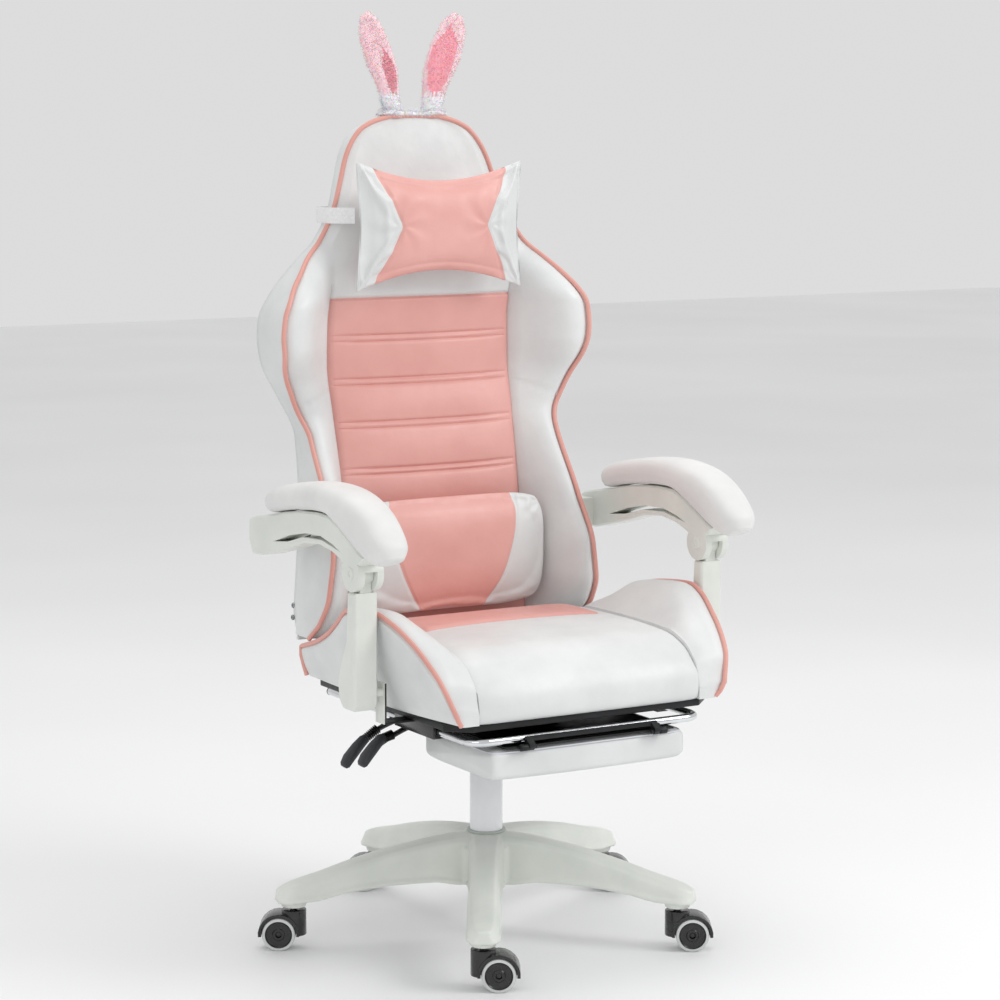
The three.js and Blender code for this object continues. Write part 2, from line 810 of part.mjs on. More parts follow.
function backCushion() {
  const rings = backSteps.map((t) => {
    const half = seamX(t) - gap;
    const crown = 4;
    const front = panelY(t) + 3;
    const rear = jointY(t) - gap;
    return [
      [-half, rear, backZ(t)],
      [-half, front + 2, backZ(t)],
      [8 - half, front - 1, backZ(t)],
      [-half / 2, front - crown, backZ(t)],
      [half / 2, front - crown, backZ(t)],
      [half - 8, front - 1, backZ(t)],
      [half, front + 2, backZ(t)],
      [half, rear, backZ(t)],
    ];
  });
  return loft(rings);
}
mesh(chair, "back_cushion", backCushion(), pinkLeather);

const armMountInner = panelHalf + 3;

function backWing() {
  const rings = backSteps.filter((t) => t <= wingTop).map((t) => {
    const inner = panelHalf + gap;
    const reach = edgeX(t);
    const front = edgeY(t);
    const seam = panelY(t) + 2;
    const rear = jointY(t) - gap;
    const mid = (inner + reach) / 2;
    const brow = Math.min(front - 3, seam);
    return [
      [inner, rear, backZ(t)],
      [inner, seam, backZ(t)],
      [mid - 6, seam + (brow - seam) * 0.62, backZ(t)],
      [reach - 18, brow - 1, backZ(t)],
      [reach - 5, front - 1, backZ(t)],
      [reach, front + 6, backZ(t)],
      [reach + 1, (front + rear) / 2, backZ(t)],
      [reach - 1, rear, backZ(t)],
    ];
  });
  const stubRoom = bar(
    pinRadius + 4,
    [panelHalf - 10, armPivot.y, armPivot.z],
    [400, armPivot.y, armPivot.z],
    16,
  );
  const tabRoom = box(
    panelHalf - 5,
    armMountInner + 9,
    armPivot.y - 14,
    armPivot.y + 200,
    armPivot.z - 14,
    armPivot.z + 14,
  );
  return cut(loft(rings), stubRoom, tabRoom);
}

function backRearCover() {
  const rings = [-0.012, ...backSteps].map((t) => {
    const end = Math.max(0, Math.abs(t - 0.5) - 0.46) / 0.04;
    const half = edgeX(t) - 1 - 4 * end;
    const front = jointY(t);
    const rear = coverY(t) - 6 * end;
    const round = 14;
    return [
      [-half, front, backZ(t)],
      [half, front, backZ(t)],
      [half - 1, rear - round, backZ(t)],
      [half - round, rear - 2, backZ(t)],
      [half / 2, rear + 2, backZ(t)],
      [-half / 2, rear + 2, backZ(t)],
      [round - half, rear - 2, backZ(t)],
      [1 - half, rear - round, backZ(t)],
    ];
  });
  const pocketSteps = [-0.05, ...backSteps.filter((t) => t < wingTop)];
  const pocket = loft(pocketSteps.map((t) => {
    const half = frameHalf + 22;
    const front = jointY(t) - 5;
    const rear = jointY(t) + framePocket;
    return [
      [-half, front, backZ(t)],
      [half, front, backZ(t)],
      [half, rear, backZ(t)],
      [-half, rear, backZ(t)],
    ];
  }));
  return cut(loft(rings), pocket);
}
mesh(chair, "back_rear_cover", backRearCover(), whiteLeather);

function backFrame() {
  const centreY = (t) => jointY(t) + framePocket / 2;
  const steps = [0.01, 0.1, 0.2, 0.3, 0.4, 0.5, 0.6, 0.7];
  const pieces = [];
  for (const side of [-1, 1]) {
    const x = side * frameHalf;
    pieces.push(rod(steps.map((t) => [x, centreY(t), backZ(t)]), frameTube, 10, 8));
    const low = centreY(0.01);
    const arm = outline([
      [hinge.y - 13, hinge.z],
      [hinge.y + 13, hinge.z - 4],
      [low + 8, backZ(0.01) + 4],
      [centreY(0.08) + 5, backZ(0.08)],
      [centreY(0.08) - 7, backZ(0.08)],
      [low - 8, backBottomZ - 2],
      [hinge.y - 11, hinge.z + 10],
    ]);
    pieces.push(prismX(arm, x - hingeEar / 2, x + hingeEar / 2));
    pieces.push(bar(13, [x - hingeEar / 2, hinge.y, hinge.z], [x + hingeEar / 2, hinge.y, hinge.z], 20));
    const tabRear = centreY(backT(armPivot.z)) + frameTube - 1;
    const tabX = [side * (armMountInner + gap), side * (armMountInner + 6)].sort((a, b) => a - b);
    pieces.push(box(tabX[0], tabX[1], armPivot.y - 10, tabRear, armPivot.z - 10, armPivot.z + 10));
    const strapX = [x, side * (armMountInner + 6)].sort((a, b) => a - b);
    pieces.push(box(strapX[0], strapX[1], tabRear - 8, tabRear, armPivot.z - 10, armPivot.z + 10));
    const stubEnd = side * (armOuterX - 6);
    pieces.push(
      bar(pinRadius, [tabX[0], armPivot.y, armPivot.z], [stubEnd, armPivot.y, armPivot.z], 16),
    );
  }
  for (const t of [0.12, 0.42, 0.68]) {
    const at = [centreY(t), backZ(t)];
    pieces.push(bar(frameTube - 1, [-frameHalf, ...at], [frameHalf, ...at], 8));
  }
  const joined = join(...pieces);
  const hingeHoles = [-1, 1].map((side) =>
    bar(
      pinRadius + runGap,
      [side * (frameHalf - 12), hinge.y, hinge.z],
      [side * (frameHalf + 12), hinge.y, hinge.z],
      16,
    ),
  );
  return cut(joined, ...hingeHoles);
}
mesh(chair, "back_frame", backFrame(), blackSteel);

for (const side of Object.keys(sides)) {
  mesh(sideGroup[side], "back_wing_" + side, backWing(), whiteLeather);
}

// ---------------------------------------------------------------- pillows, strap, ears
const pillowY = (size) => panelY(backT(size.z)) - size.forward;

function pillow(size, waist, ends) {
  const steps = [-1, -0.96, -0.85, -0.6, -0.3, 0, 0.3, 0.6, 0.85, 0.96, 1];
  const rings = steps.map((s) => {
    const height = size.halfZ * (1 - (1 - waist) * (1 - s * s));
    const fat = Math.max(0.12, (1 - Math.abs(s) ** 3.5) ** 0.55);
    const tall = Math.abs(s) > 0.9 ? ends : 1;
    return roundRing(size.halfY * fat, height * tall, 2.1, 16).map(([u, v]) => [
      s * size.halfX,
      pillowY(size) + u,
      size.z + v,
    ]);
  });
  return loft(rings);
}

mesh(chair, "head_pillow", pillow(headPillow, 0.72, 1), pinkLeather);
mesh(chair, "lumbar_pillow", pillow(lumbarPillow, 0.96, 0.8), pinkLeather);

function headStrap() {
  const middleZ = headPillow.z + 16;
  const t = backT(middleZ);
  const wide = 12;
  const thick = 1.6;
  const out = edgeX(t - (wide + 2) / backHeight) + 4;
  const rear = coverY(t) + 5;
  const half = [
    [headPillow.halfX - 8, pillowY(headPillow) + 27],
    [out - 5, edgeY(t) - 14],
    [out, edgeY(t) + 4],
    [out, rear - 16],
    [out - 14, rear - 2],
    [out / 2, rear + 1],
  ];
  const path = [...half, [0, rear + 1.5], ...half.map(([x, y]) => [-x, y]).reverse()];
  const curve = new THREE.CatmullRomCurve3(
    path.map(([x, y]) => new THREE.Vector3(x, y, 0)),
    false,
    "centripetal",
  );
  const steps = 32;
  const rings = Array.from({ length: steps + 1 }, (_, i) => {
    const at = curve.getPoint(i / steps);
    const along = curve.getTangent(i / steps);
    const nx = along.y * (thick / 2);
    const ny = -along.x * (thick / 2);
    return [
      [at.x + nx, at.y + ny, middleZ - wide],
      [at.x + nx, at.y + ny, middleZ + wide],
      [at.x - nx, at.y - ny, middleZ + wide],
      [at.x - nx, at.y - ny, middleZ - wide],
    ];
  });
  return loft(rings);
}
mesh(chair, "head_strap", headStrap(), whiteLeather);

const crownY = edgeY(1) + earForward;

function earBand() {
  const low = backTopZ + gap;
  const rise = earBandHeight / 2;
  const steps = [-1, -0.75, -0.4, 0, 0.4, 0.75, 1];
  const rings = steps.map((s) =>
    roundRing(earBandDepth, rise, 2.5, 12).map(([u, v]) => [s * earBandHalf, crownY + u, low + rise + v]),
  );
  return loft(rings);
}
mesh(chair, "ear_band", earBand(), whitePlush);

function ear() {
  const foot = backTopZ + earBandHeight + 2 * gap;
  const lean = through([[0, 34], [0.2, 40], [0.5, 54], [0.8, 68], [1, 75]]);
  const width = through([[0, 13], [0.2, 17], [0.5, 26], [0.7, 25], [0.88, 16], [1, 4]]);
  const thick = through([[0, 10], [0.4, 9], [1, 4]]);
  const rings = [0, 0.12, 0.25, 0.4, 0.55, 0.7, 0.82, 0.92, 1].map((s) =>
    roundRing(width(s), thick(s), 2.2, 14).map(([u, v]) => [
      lean(s) + u,
      crownY + v,
      foot + s * earHeight + u * 0.15 * Math.min(1, s * 4),
    ]),
  );
  return loft(rings);
}
for (const side of Object.keys(sides)) {
  mesh(sideGroup[side], "ear_" + side, ear(), plush);
}

// ---------------------------------------------------------------- arms
const armMiddleX = (armInnerX + armOuterX) / 2;
const tongueInner = armMiddleX - tongueThickness / 2;
const tongueOuter = armMiddleX + tongueThickness / 2;

// Pad sections from rear to front: [y, z] of its lower edge and of its crown, both from the arm's front
// pivot, and its half width.
const padShape = [
  { low: [260, 55], high: [266, 77], half: 22 },
  { low: [244, 57], high: [252, 91], half: 31 },
  { low: [210, 64], high: [210, 103], half: armPadHalfWidth },
  { low: [160, 71], high: [150, 113], half: armPadHalfWidth },
  { low: [108, 75], high: [96, 118], half: armPadHalfWidth },
  { low: [66, 74], high: [45, 117], half: armPadHalfWidth },
  { low: [32, 62], high: [-5, 109], half: armPadHalfWidth },
  { low: [0, 46], high: [-48, 92], half: 34 },
  { low: [-28, 32], high: [-80, 68], half: 32 },
  { low: [-52, 22], high: [-97, 50], half: 27 },
  { low: [-68, 18], high: [-99, 33], half: 18 },
];
const fromArmTop = ([y, z]) => [armTop.y + y, armTop.z + z];
const padSections = padShape.map(({ low, high, half }) => ({
  low: fromArmTop(low),
  high: fromArmTop(high),
  half,
}));

function armPad() {
  const rings = padSections.map(({ low, high, half }) => {
    const rise = [(high[0] - low[0]) / 2, (high[1] - low[1]) / 2];
    return roundRing(half, 1, 3, 16).map(([u, v]) => [
      armMiddleX + u,
      low[0] + rise[0] * (1 + v),
      low[1] + rise[1] * (1 + v),
    ]);
  });
  return loft(rings);
}

function armShell() {
  const under = padSections.slice(2, 9).map(({ low }) => [low[0] + 0.6, low[1] - 1.2]);
  const neck = armTop.y - 6;
  const front = [
    [armTop.y - 40, armTop.z + 27],
    [neck - 18, armTop.z + 14],
  ];
  const drop = [
    [armTop.y + 18, armTop.z + 8],
    [armTop.y + 32, armTop.z + 15],
    [armTop.y + 62, armTop.z + 24],
    [armTop.y + 100, armTop.z + 29],
    [armTop.y + 150, armTop.z + 24],
    [armTop.y + 210, armTop.z + 7],
    [armPivot.y - 20, armPivot.z - 24],
  ];
  const block = [
    [armPivot.y + 12, armPivot.z - 26],
    [armPivot.y + 24, armPivot.z - 4],
    [armPivot.y + 22, armPivot.z + 26],
    [armPivot.y + 12, armPivot.z + 30],
    fromArmTop([264, 53]),
    fromArmTop([244, 55.6]),
  ];
  const shape = outline([...under, ...front, ...drop, ...block]);
  const slot = outline([
    [armTop.y + 30, armTop.z + 27],
    [armTop.y + 55, armTop.z + 35],
    [armTop.y + 92, armTop.z + 42],
    [armTop.y + 140, armTop.z + 40],
    [armTop.y + 190, armTop.z + 31],
    [armTop.y + 245, armTop.z + 15],
    [armTop.y + 200, armTop.z + 20],
    [armTop.y + 150, armTop.z + 33],
    [armTop.y + 90, armTop.z + 36.5],
    [armTop.y + 60, armTop.z + 32],
  ]);
  const beam = cut(
    prismX(shape, armInnerX, armOuterX, 3),
    prismX(slot, armInnerX - 10, armOuterX + 10),
  );
  const barrel = bar(knuckleRadius, [armInnerX, armTop.y, armTop.z], [armOuterX, armTop.y, armTop.z], 28);
  const inward = box(
    bracketPlateX - 14,
    armInnerX + 2,
    armPivot.y - 16,
    armPivot.y + 18,
    armPivot.z - 20,
    armPivot.z + 22,
  );
  const eyeRoom = bar(
    16 + runGap,
    [tongueInner - runGap, armTop.y, armTop.z],
    [tongueOuter + runGap, armTop.y, armTop.z],
    24,
  );
  const swing = common(
    bar(
      knuckleRadius + 6,
      [tongueInner - runGap, armTop.y, armTop.z],
      [tongueOuter + runGap, armTop.y, armTop.z],
      24,
    ),
    box(0, 500, armTop.y - 60, armTop.y + 17, armTop.z - 60, armTop.z + 4),
  );
  const pin = bar(
    pinRadius,
    [armInnerX + 2, armTop.y, armTop.z],
    [armOuterX - 2, armTop.y, armTop.z],
    16,
  );
  const rearHole = bar(
    pinRadius + 1.5,
    [bracketPlateX - 30, armPivot.y, armPivot.z],
    [armOuterX - 4, armPivot.y, armPivot.z],
    16,
  );
  return cut(join(cut(join(beam, barrel, inward), eyeRoom, swing), pin), rearHole);
}

function armPost() {
  const top = armTop.z - knuckleRadius - 1.5;
  const shape = outline([
    [armTop.y - 11, top],
    [postFoot.y - 13, postFoot.z - 14],
    [postFoot.y - 6, postFoot.z - 23],
    [postFoot.y + 24, postFoot.z - 23],
    [postFoot.y + 35, postFoot.z - 12],
    [postFoot.y + 40, postFoot.z + 14],
    [postFoot.y + 30, postFoot.z + 42],
    [postFoot.y + 13, postFoot.z + 76],
    [armTop.y + 11, top],
  ]);
  const column = prismX(shape, armInnerX + 2, armOuterX, 3);
  const eye = bar(16, [tongueInner, armTop.y, armTop.z], [tongueOuter, armTop.y, armTop.z], 24);
  const tongue = box(tongueInner, tongueOuter, armTop.y - 9, armTop.y + 9, top - 10, armTop.z);
  const upperHole = bar(
    pinRadius + runGap,
    [armInnerX, armTop.y, armTop.z],
    [armOuterX, armTop.y, armTop.z],
    16,
  );
  const lowerHole = bar(
    pinRadius + runGap,
    [armInnerX - 5, postFoot.y, postFoot.z],
    [armOuterX - 6, postFoot.y, postFoot.z],
    16,
  );
  return cut(join(column, eye, tongue), upperHole, lowerHole);
}

for (const side of Object.keys(sides)) {
  mesh(sideGroup[side], "arm_pad_" + side, armPad(), softArm);
  mesh(sideGroup[side], "arm_shell_" + side, armShell(), whiteNylon);
  mesh(sideGroup[side], "arm_post_" + side, armPost(), whiteNylon);
}

// ---------------------------------------------------------------- levers
function lever({ y, reach, drop }, innerPath) {
  const passZ = railZ - railRadius - 16;
  const tip = { x: -reach, z: leverZ - drop };
  const path = [
    ...innerPath,
    [leverAxisX, y, leverZ],
    [leverAxisX - 60, y, leverZ - 3],
    [20 - railHalfWidth, y, passZ + 5],
    [-railHalfWidth - 14, y, passZ - 8],
    [tip.x + 18, y, tip.z + 22],
  ];
  const shaft = rod(path, leverRadius, 18, 8);
  const bellows = bar(7, [-railHalfWidth - 9, y, passZ - 4], [tip.x + 32, y, tip.z + 36], 10);
  const paddle = loft([
    [tip.x + 34, tip.z + 38, 6, 6],
    [tip.x + 22, tip.z + 28, 9, 6],
    [tip.x + 8, tip.z + 12, 12, 5],
    [tip.x, tip.z, 10, 4],
  ].map(([x, z, wide, thick]) =>
    roundRing(wide, thick, 2.6, 10).map(([u, v]) => [x + v * 0.75, y + u, z - v * 0.65]),
  ));
  return join(shaft, bellows, paddle);
}
const fingerPath = [[6, 0, leverZ], [-28, heightLever.y * 0.55, leverZ]];
const cablePath = [[leverAxisX + 20, reclineLever.y, leverZ]];
mesh(chair, "height_lever", lever(heightLever, fingerPath), blackPlastic);
mesh(chair, "recline_lever", lever(reclineLever, cablePath), blackPlastic);

// ---------------------------------------------------------------- footrest
function footrestRail() {
  const corner = railCorner;
  const half = railHalfWidth;
  const bend = (side) => [
    [side * half, railFrontY + corner],
    [side * (half - corner * 0.08), railFrontY + corner * 0.6],
    [side * (half - corner * 0.3), railFrontY + corner * 0.3],
    [side * (half - corner * 0.6), railFrontY + corner * 0.08],
    [side * (half - corner), railFrontY],
  ];
  const points = [
    [half, railRearY],
    [half, (railRearY + railFrontY) / 2],
    ...bend(1),
    [0, railFrontY],
    ...bend(-1).reverse(),
    [-half, (railRearY + railFrontY) / 2],
    [-half, railRearY],
  ];
  const rings = points.map(([x, y], i) => {
    const before = points[Math.max(0, i - 1)];
    const after = points[Math.min(points.length - 1, i + 1)];
    const along = new THREE.Vector2(after[0] - before[0], after[1] - before[1]).normalize();
    return roundRing(railRadius, railRadius, 2, 12).map(([u, v]) => [
      x + u * along.y,
      y - u * along.x,
      railZ + v,
    ]);
  });
  return loft(rings);
}
mesh(chair, "footrest_rail", footrestRail(), chrome);

const knuckleR = 5;
const flipPin = 2.5;
const plateThickness = 2.5;

function footrestBracket() {
  const lug = (x) => {
    const shape = outline([
      [flipAxis.y - knuckleR, flipAxis.z],
      [flipAxis.y, flipAxis.z - knuckleR],
      [flipAxis.y + knuckleR, flipAxis.z],
      [railFrontY - railRadius + 2, railZ - 1],
      [railFrontY - railRadius - 1, railZ + 4],
      [flipAxis.y - knuckleR, flipAxis.z + 5],
    ]);
    return prismX(shape, x - lugWidth / 2, x + lugWidth / 2);
  };
  const holes = [-1, 1].map((side) =>
    bar(
      flipPin + runGap,
      [side * (lugX - lugWidth), flipAxis.y, flipAxis.z],
      [side * (lugX + lugWidth), flipAxis.y, flipAxis.z],
      12,
    ),
  );
  const strip = box(
    -lugX - lugWidth / 2,
    lugX + lugWidth / 2,
    railFrontY - railRadius - 3,
    railFrontY - railRadius - gap,
    railZ - 3,
    railZ + 4,
  );
  const railRoom = bar(
    railRadius + gap,
    [-lugX - 20, railFrontY, railZ],
    [lugX + 20, railFrontY, railZ],
    24,
  );
  return cut(join(strip, lug(-lugX), lug(lugX)), railRoom, ...holes);
}
mesh(chair, "footrest_bracket", footrestBracket(), blackSteel);

function footrestPlate() {
  const plateLow = footTopZ + gap;
  const sheet = box(
    20 - footHalfWidth,
    footHalfWidth - 20,
    flipAxis.y + 9,
    footRearY - 20,
    plateLow,
    plateLow + plateThickness,
  );
  const ears = [-1, 1].map((side) => {
    const x0 = side * (lugX + lugWidth / 2 + runGap);
    const x1 = side * (lugX + lugWidth / 2 + 12);
    const [low, high] = [Math.min(x0, x1), Math.max(x0, x1)];
    return join(
      box(low, high, flipAxis.y, flipAxis.y + 12, plateLow, plateLow + plateThickness),
      bar(knuckleR, [low, flipAxis.y, flipAxis.z], [high, flipAxis.y, flipAxis.z], 14),
    );
  });
  const pin = [-1, 1].map((side) =>
    bar(
      flipPin,
      [side * (lugX - lugWidth + 1), flipAxis.y, flipAxis.z],
      [side * (lugX + lugWidth + 2), flipAxis.y, flipAxis.z],
      12,
    ),
  );
  return join(sheet, ...ears, ...pin);
}
mesh(chair, "footrest_plate", footrestPlate(), blackSteel);

function footrestCushion() {
  const low = footTopZ - footThickness;
  const rear = footRearY;
  const shape = outline([
    [footFrontY + 6, low],
    [rear - 6, low],
    [rear, low + 6],
    [rear, footTopZ - 5],
    [rear - 5, footTopZ],
    [footFrontY + 5, footTopZ],
    [footFrontY, footTopZ - 5],
    [footFrontY, low + 6],
  ]);
  return prismX(shape, -footHalfWidth, footHalfWidth, 5);
}
mesh(chair, "footrest_cushion", footrestCushion(), whiteLeather);

export default chair;
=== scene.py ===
"""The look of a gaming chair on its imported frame: leatherette, plush, nylon, chrome and black plastic."""
import random
from math import atan2, copysign, cos, exp, hypot, pi, radians, sin

import bmesh
import bpy
import numpy as np
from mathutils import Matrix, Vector


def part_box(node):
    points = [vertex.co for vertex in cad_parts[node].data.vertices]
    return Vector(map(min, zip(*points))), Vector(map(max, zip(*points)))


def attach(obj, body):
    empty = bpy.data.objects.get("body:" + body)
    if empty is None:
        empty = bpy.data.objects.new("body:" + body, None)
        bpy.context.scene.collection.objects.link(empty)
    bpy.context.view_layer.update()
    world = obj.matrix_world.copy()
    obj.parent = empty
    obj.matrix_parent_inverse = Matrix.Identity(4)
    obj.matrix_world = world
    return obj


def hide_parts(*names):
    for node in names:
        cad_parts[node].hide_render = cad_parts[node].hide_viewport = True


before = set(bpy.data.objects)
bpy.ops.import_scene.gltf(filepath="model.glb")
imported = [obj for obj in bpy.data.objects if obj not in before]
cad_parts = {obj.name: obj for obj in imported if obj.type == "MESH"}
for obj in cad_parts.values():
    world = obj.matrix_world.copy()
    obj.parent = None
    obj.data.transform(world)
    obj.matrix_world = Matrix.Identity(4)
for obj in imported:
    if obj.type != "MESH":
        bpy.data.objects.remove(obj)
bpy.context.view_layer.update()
random.seed(7)

# ---- places
# Shapes are in millimetres from the column's foot, +X the sitter's left and -Y forward; at() makes them metres.
low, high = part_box("column_tube")
AXIS = Vector(((low.x + high.x) / 2, (low.y + high.y) / 2, 0.0))
UP = Vector((0, 0, 1))
SIDES = ((1, "left"), (-1, "right"))


def at(x, y, z):
    return Vector((AXIS.x + x / 1000.0, AXIS.y + y / 1000.0, z / 1000.0))


def place_of(point):
    """at() the other way round."""
    return (point - AXIS) * 1000.0


def mirrored(points):
    return [(-x, y, z) for x, y, z in reversed(points)]


def through(stations):
    """A smooth function through (place, value) stations, monotone between them."""
    xs = [s[0] for s in stations]
    ys = [s[1] for s in stations]
    n = len(xs)
    slope = [(ys[i + 1] - ys[i]) / (xs[i + 1] - xs[i]) for i in range(n - 1)]
    tangent = [slope[0]]
    for i in range(1, n - 1):
        product = slope[i - 1] * slope[i]
        tangent.append(0.0 if product <= 0 else 2 * product / (slope[i - 1] + slope[i]))
    tangent.append(slope[-1])

    def value(x):
        if x <= xs[0]:
            return ys[0]
        if x >= xs[-1]:
            return ys[-1]
        i = next(k for k, v in enumerate(xs) if v > x) - 1
        h = xs[i + 1] - xs[i]
        t = (x - xs[i]) / h
        rise = ys[i] * (1 + 2 * t) * (1 - t) ** 2 + ys[i + 1] * t * t * (3 - 2 * t)
        return rise + h * (tangent[i] * t * (1 - t) ** 2 - tangent[i + 1] * t * t * (1 - t))

    return value


def bump(x, centre, width):
    """A hump of height 1."""
    return exp(-(((x - centre) / width) ** 2))


def smooth(a, b, x):
    """A soft step from 0 at a to 1 at b."""
    t = min(1.0, max(0.0, (x - a) / (b - a)))
    return t * t * (3 - 2 * t)


# ---- materials
NOISE_SPAN = (0.3, 0.7)   # most of a noise lies between these


def rgb(code):
    """A colour written as a screen value, in the renderer's linear numbers."""
    parts = [int(code[i:i + 2], 16) / 255.0 for i in (0, 2, 4)]
    return tuple(c / 12.92 if c <= 0.04045 else ((c + 0.055) / 1.055) ** 2.4 for c in parts) + (1.0,)


class Shade:
    """A principled material whose colour, roughness and relief come from noise."""

    def __init__(self, name, rough, metal=0.0):
        self.material = bpy.data.materials.new(name)
        self.material.use_nodes = True
        self.tree = self.material.node_tree
        self.shader = self.tree.nodes["Principled BSDF"]
        self.set(("Metallic", metal), ("Roughness", rough))
        self.place = self.node("ShaderNodeTexCoord").outputs["Object"]
        self.height = None

    def node(self, kind, **values):
        made = self.tree.nodes.new(kind)
        for key, value in values.items():
            if key in made.inputs:
                made.inputs[key].default_value = value
            else:
                setattr(made, key, value)
        return made

    def set(self, *values):
        for socket, value in values:
            self.shader.inputs[socket].default_value = value

    def link(self, a, b):
        self.tree.links.new(a, b)

    def noise(self, scale, detail=4.0, rough=0.55):
        made = self.node("ShaderNodeTexNoise", Scale=scale, Detail=detail, Roughness=rough)
        self.link(self.place, made.inputs["Vector"])
        return made.outputs["Fac"]

    def cells(self, scale):
        made = self.node("ShaderNodeTexVoronoi", feature="DISTANCE_TO_EDGE", Scale=scale)
        self.link(self.place, made.inputs["Vector"])
        return made.outputs["Distance"]

    def tone(self, source, dark, light):
        """The colour runs between two values over a noise."""
        made = self.node("ShaderNodeValToRGB")
        for element, place, colour in zip(made.color_ramp.elements, NOISE_SPAN, (dark, light)):
            element.position = place
            element.color = rgb(colour)
        self.link(source, made.inputs["Fac"])
        self.link(made.outputs["Color"], self.shader.inputs["Base Color"])

    def gloss(self, source, low, high):
        """The roughness runs between two values over a noise."""
        made = self.node("ShaderNodeMapRange")
        for socket, value in zip(("From Min", "From Max", "To Min", "To Max"), NOISE_SPAN + (low, high)):
            made.inputs[socket].default_value = value
        self.link(source, made.inputs["Value"])
        self.link(made.outputs["Result"], self.shader.inputs["Roughness"])

    def relief(self, source, strength, distance):
        """Adds a bump on top of those already there."""
        made = self.node("ShaderNodeBump", Strength=strength, Distance=distance)
        self.link(source, made.inputs["Height"])
        if self.height is not None:
            self.link(self.height, made.inputs["Normal"])
        self.height = made.outputs["Normal"]
        self.link(self.height, self.shader.inputs["Normal"])


def leather(name, dark, light, rough=0.42):
    """Leatherette: a fine pebble grain, soft creases and slow tone changes."""
    shade = Shade(name, rough)
    shade.tone(shade.noise(9.0, 5.0), dark, light)
    shade.gloss(shade.noise(60.0, 3.0), rough - 0.06, rough + 0.08)
    shade.relief(shade.noise(14.0, 3.0), 0.25, 0.004)
    shade.relief(shade.noise(90.0, 4.0), 0.22, 0.0008)
    shade.relief(shade.cells(950.0), 0.3, 0.00022)
    shade.set(("Specular IOR Level", 0.45), ("Coat Weight", 0.06), ("Coat Roughness", 0.35))
    return shade.material


def moulded(name, dark, light, rough, grain=1400.0, strength=0.12, coat=0.0):
    """Moulded plastic: a fine spark texture and faint flow marks."""
    shade = Shade(name, rough)
    shade.tone(shade.noise(12.0, 4.0), dark, light)
    shade.gloss(shade.noise(35.0, 4.0), rough - 0.05, rough + 0.07)
    shade.relief(shade.noise(24.0, 2.0), 0.08, 0.002)
    shade.relief(shade.noise(grain, 2.0), strength, 0.0002)
    shade.set(("Specular IOR Level", 0.5), ("Coat Weight", coat), ("Coat Roughness", 0.12))
    return shade.material


def metal(name, dark, light, rough, metallic=1.0):
    """Bare, plated or painted steel."""
    shade = Shade(name, rough, metallic)
    shade.tone(shade.noise(30.0, 5.0), dark, light)
    shade.gloss(shade.noise(80.0, 4.0), max(0.03, rough - 0.05), rough + 0.06)
    shade.relief(shade.noise(700.0, 3.0), 0.08, 0.0001)
    return shade.material


def fur(name, dark, light):
    """Plush: tufted tone, a strong soft relief and a velvet edge."""
    shade = Shade(name, 0.9)
    shade.tone(shade.noise(120.0, 5.0, 0.6), dark, light)
    shade.relief(shade.noise(130.0, 4.0, 0.6), 0.35, 0.002)
    shade.relief(shade.noise(700.0, 3.0, 0.6), 0.3, 0.0006)
    shade.set(("Sheen Weight", 0.5), ("Sheen Roughness", 0.5), ("Specular IOR Level", 0.1),
              ("Subsurface Weight", 0.5), ("Subsurface Scale", 0.004))
    return shade.material


WHITE = leather("white_leatherette", "d6d8d8", "e4e6e5")
PINK = leather("pink_leatherette", "dc9f97", "e6aca4", 0.4)
PILLOW_PINK = leather("pillow_pink", "dfa39b", "eab2aa", 0.42)
PIPING = leather("piping_pink", "da998e", "e4a89d", 0.38)
SOFT = moulded("soft_arm_skin", "dddddc", "e8e8e6", 0.5, 900.0, 0.2)
NYLON = moulded("white_nylon", "d9ddd6", "e5e8e1", 0.34, 1200.0, 0.14)
GREY_NYLON = moulded("grey_nylon", "b4bab4", "c3c8c2", 0.42)
BLACK = moulded("black_plastic", "0c0c0d", "161617", 0.24, 1600.0, 0.1, 0.35)
DARK = moulded("dark_rubber", "26272a", "34363a", 0.5)
TYRE = moulded("tyre", "c9cbca", "d9dbda", 0.55)
BLACK_STEEL = metal("black_steel", "121314", "1e2022", 0.42, 0.3)
CHROME = metal("chrome", "cfd2d4", "e6e8ea", 0.09)
WHITE_STEEL = moulded("white_steel", "eceef0", "f4f5f7", 0.2, 1600.0, 0.04, 0.5)
STEEL = metal("bare_steel", "8f9193", "aeb0b2", 0.28)
THREAD = leather("thread", "d5867c", "f2b6ad", 0.6)
WHITE_THREAD = leather("white_thread", "cfd2d9", "e4e6eb", 0.6)
PLUSH = fur("pink_plush", "f9ccd4", "fde0e4")
DEEP_PLUSH = fur("deep_pink_plush", "f39dab", "f8b3bd")
FLUFF = fur("white_fluff", "f7f1f8", "fffdff")


def elastic():
    """Woven elastic: fine ribs along the band."""
    shade = Shade("white_elastic", 0.7)
    shade.tone(shade.noise(300.0, 3.0), "e6e6e7", "f3f3f4")
    wave = shade.node("ShaderNodeTexWave", Scale=320.0, Distortion=0.6)
    wave.bands_direction = "Z"
    shade.link(shade.place, wave.inputs["Vector"])
    shade.relief(wave.outputs["Fac"], 0.15, 0.0002)
    return shade.material


ELASTIC = elastic()


# ---- mesh helpers
def linked(name, data):
    made = bpy.data.objects.new(name, data)
    bpy.context.scene.collection.objects.link(made)
    return made


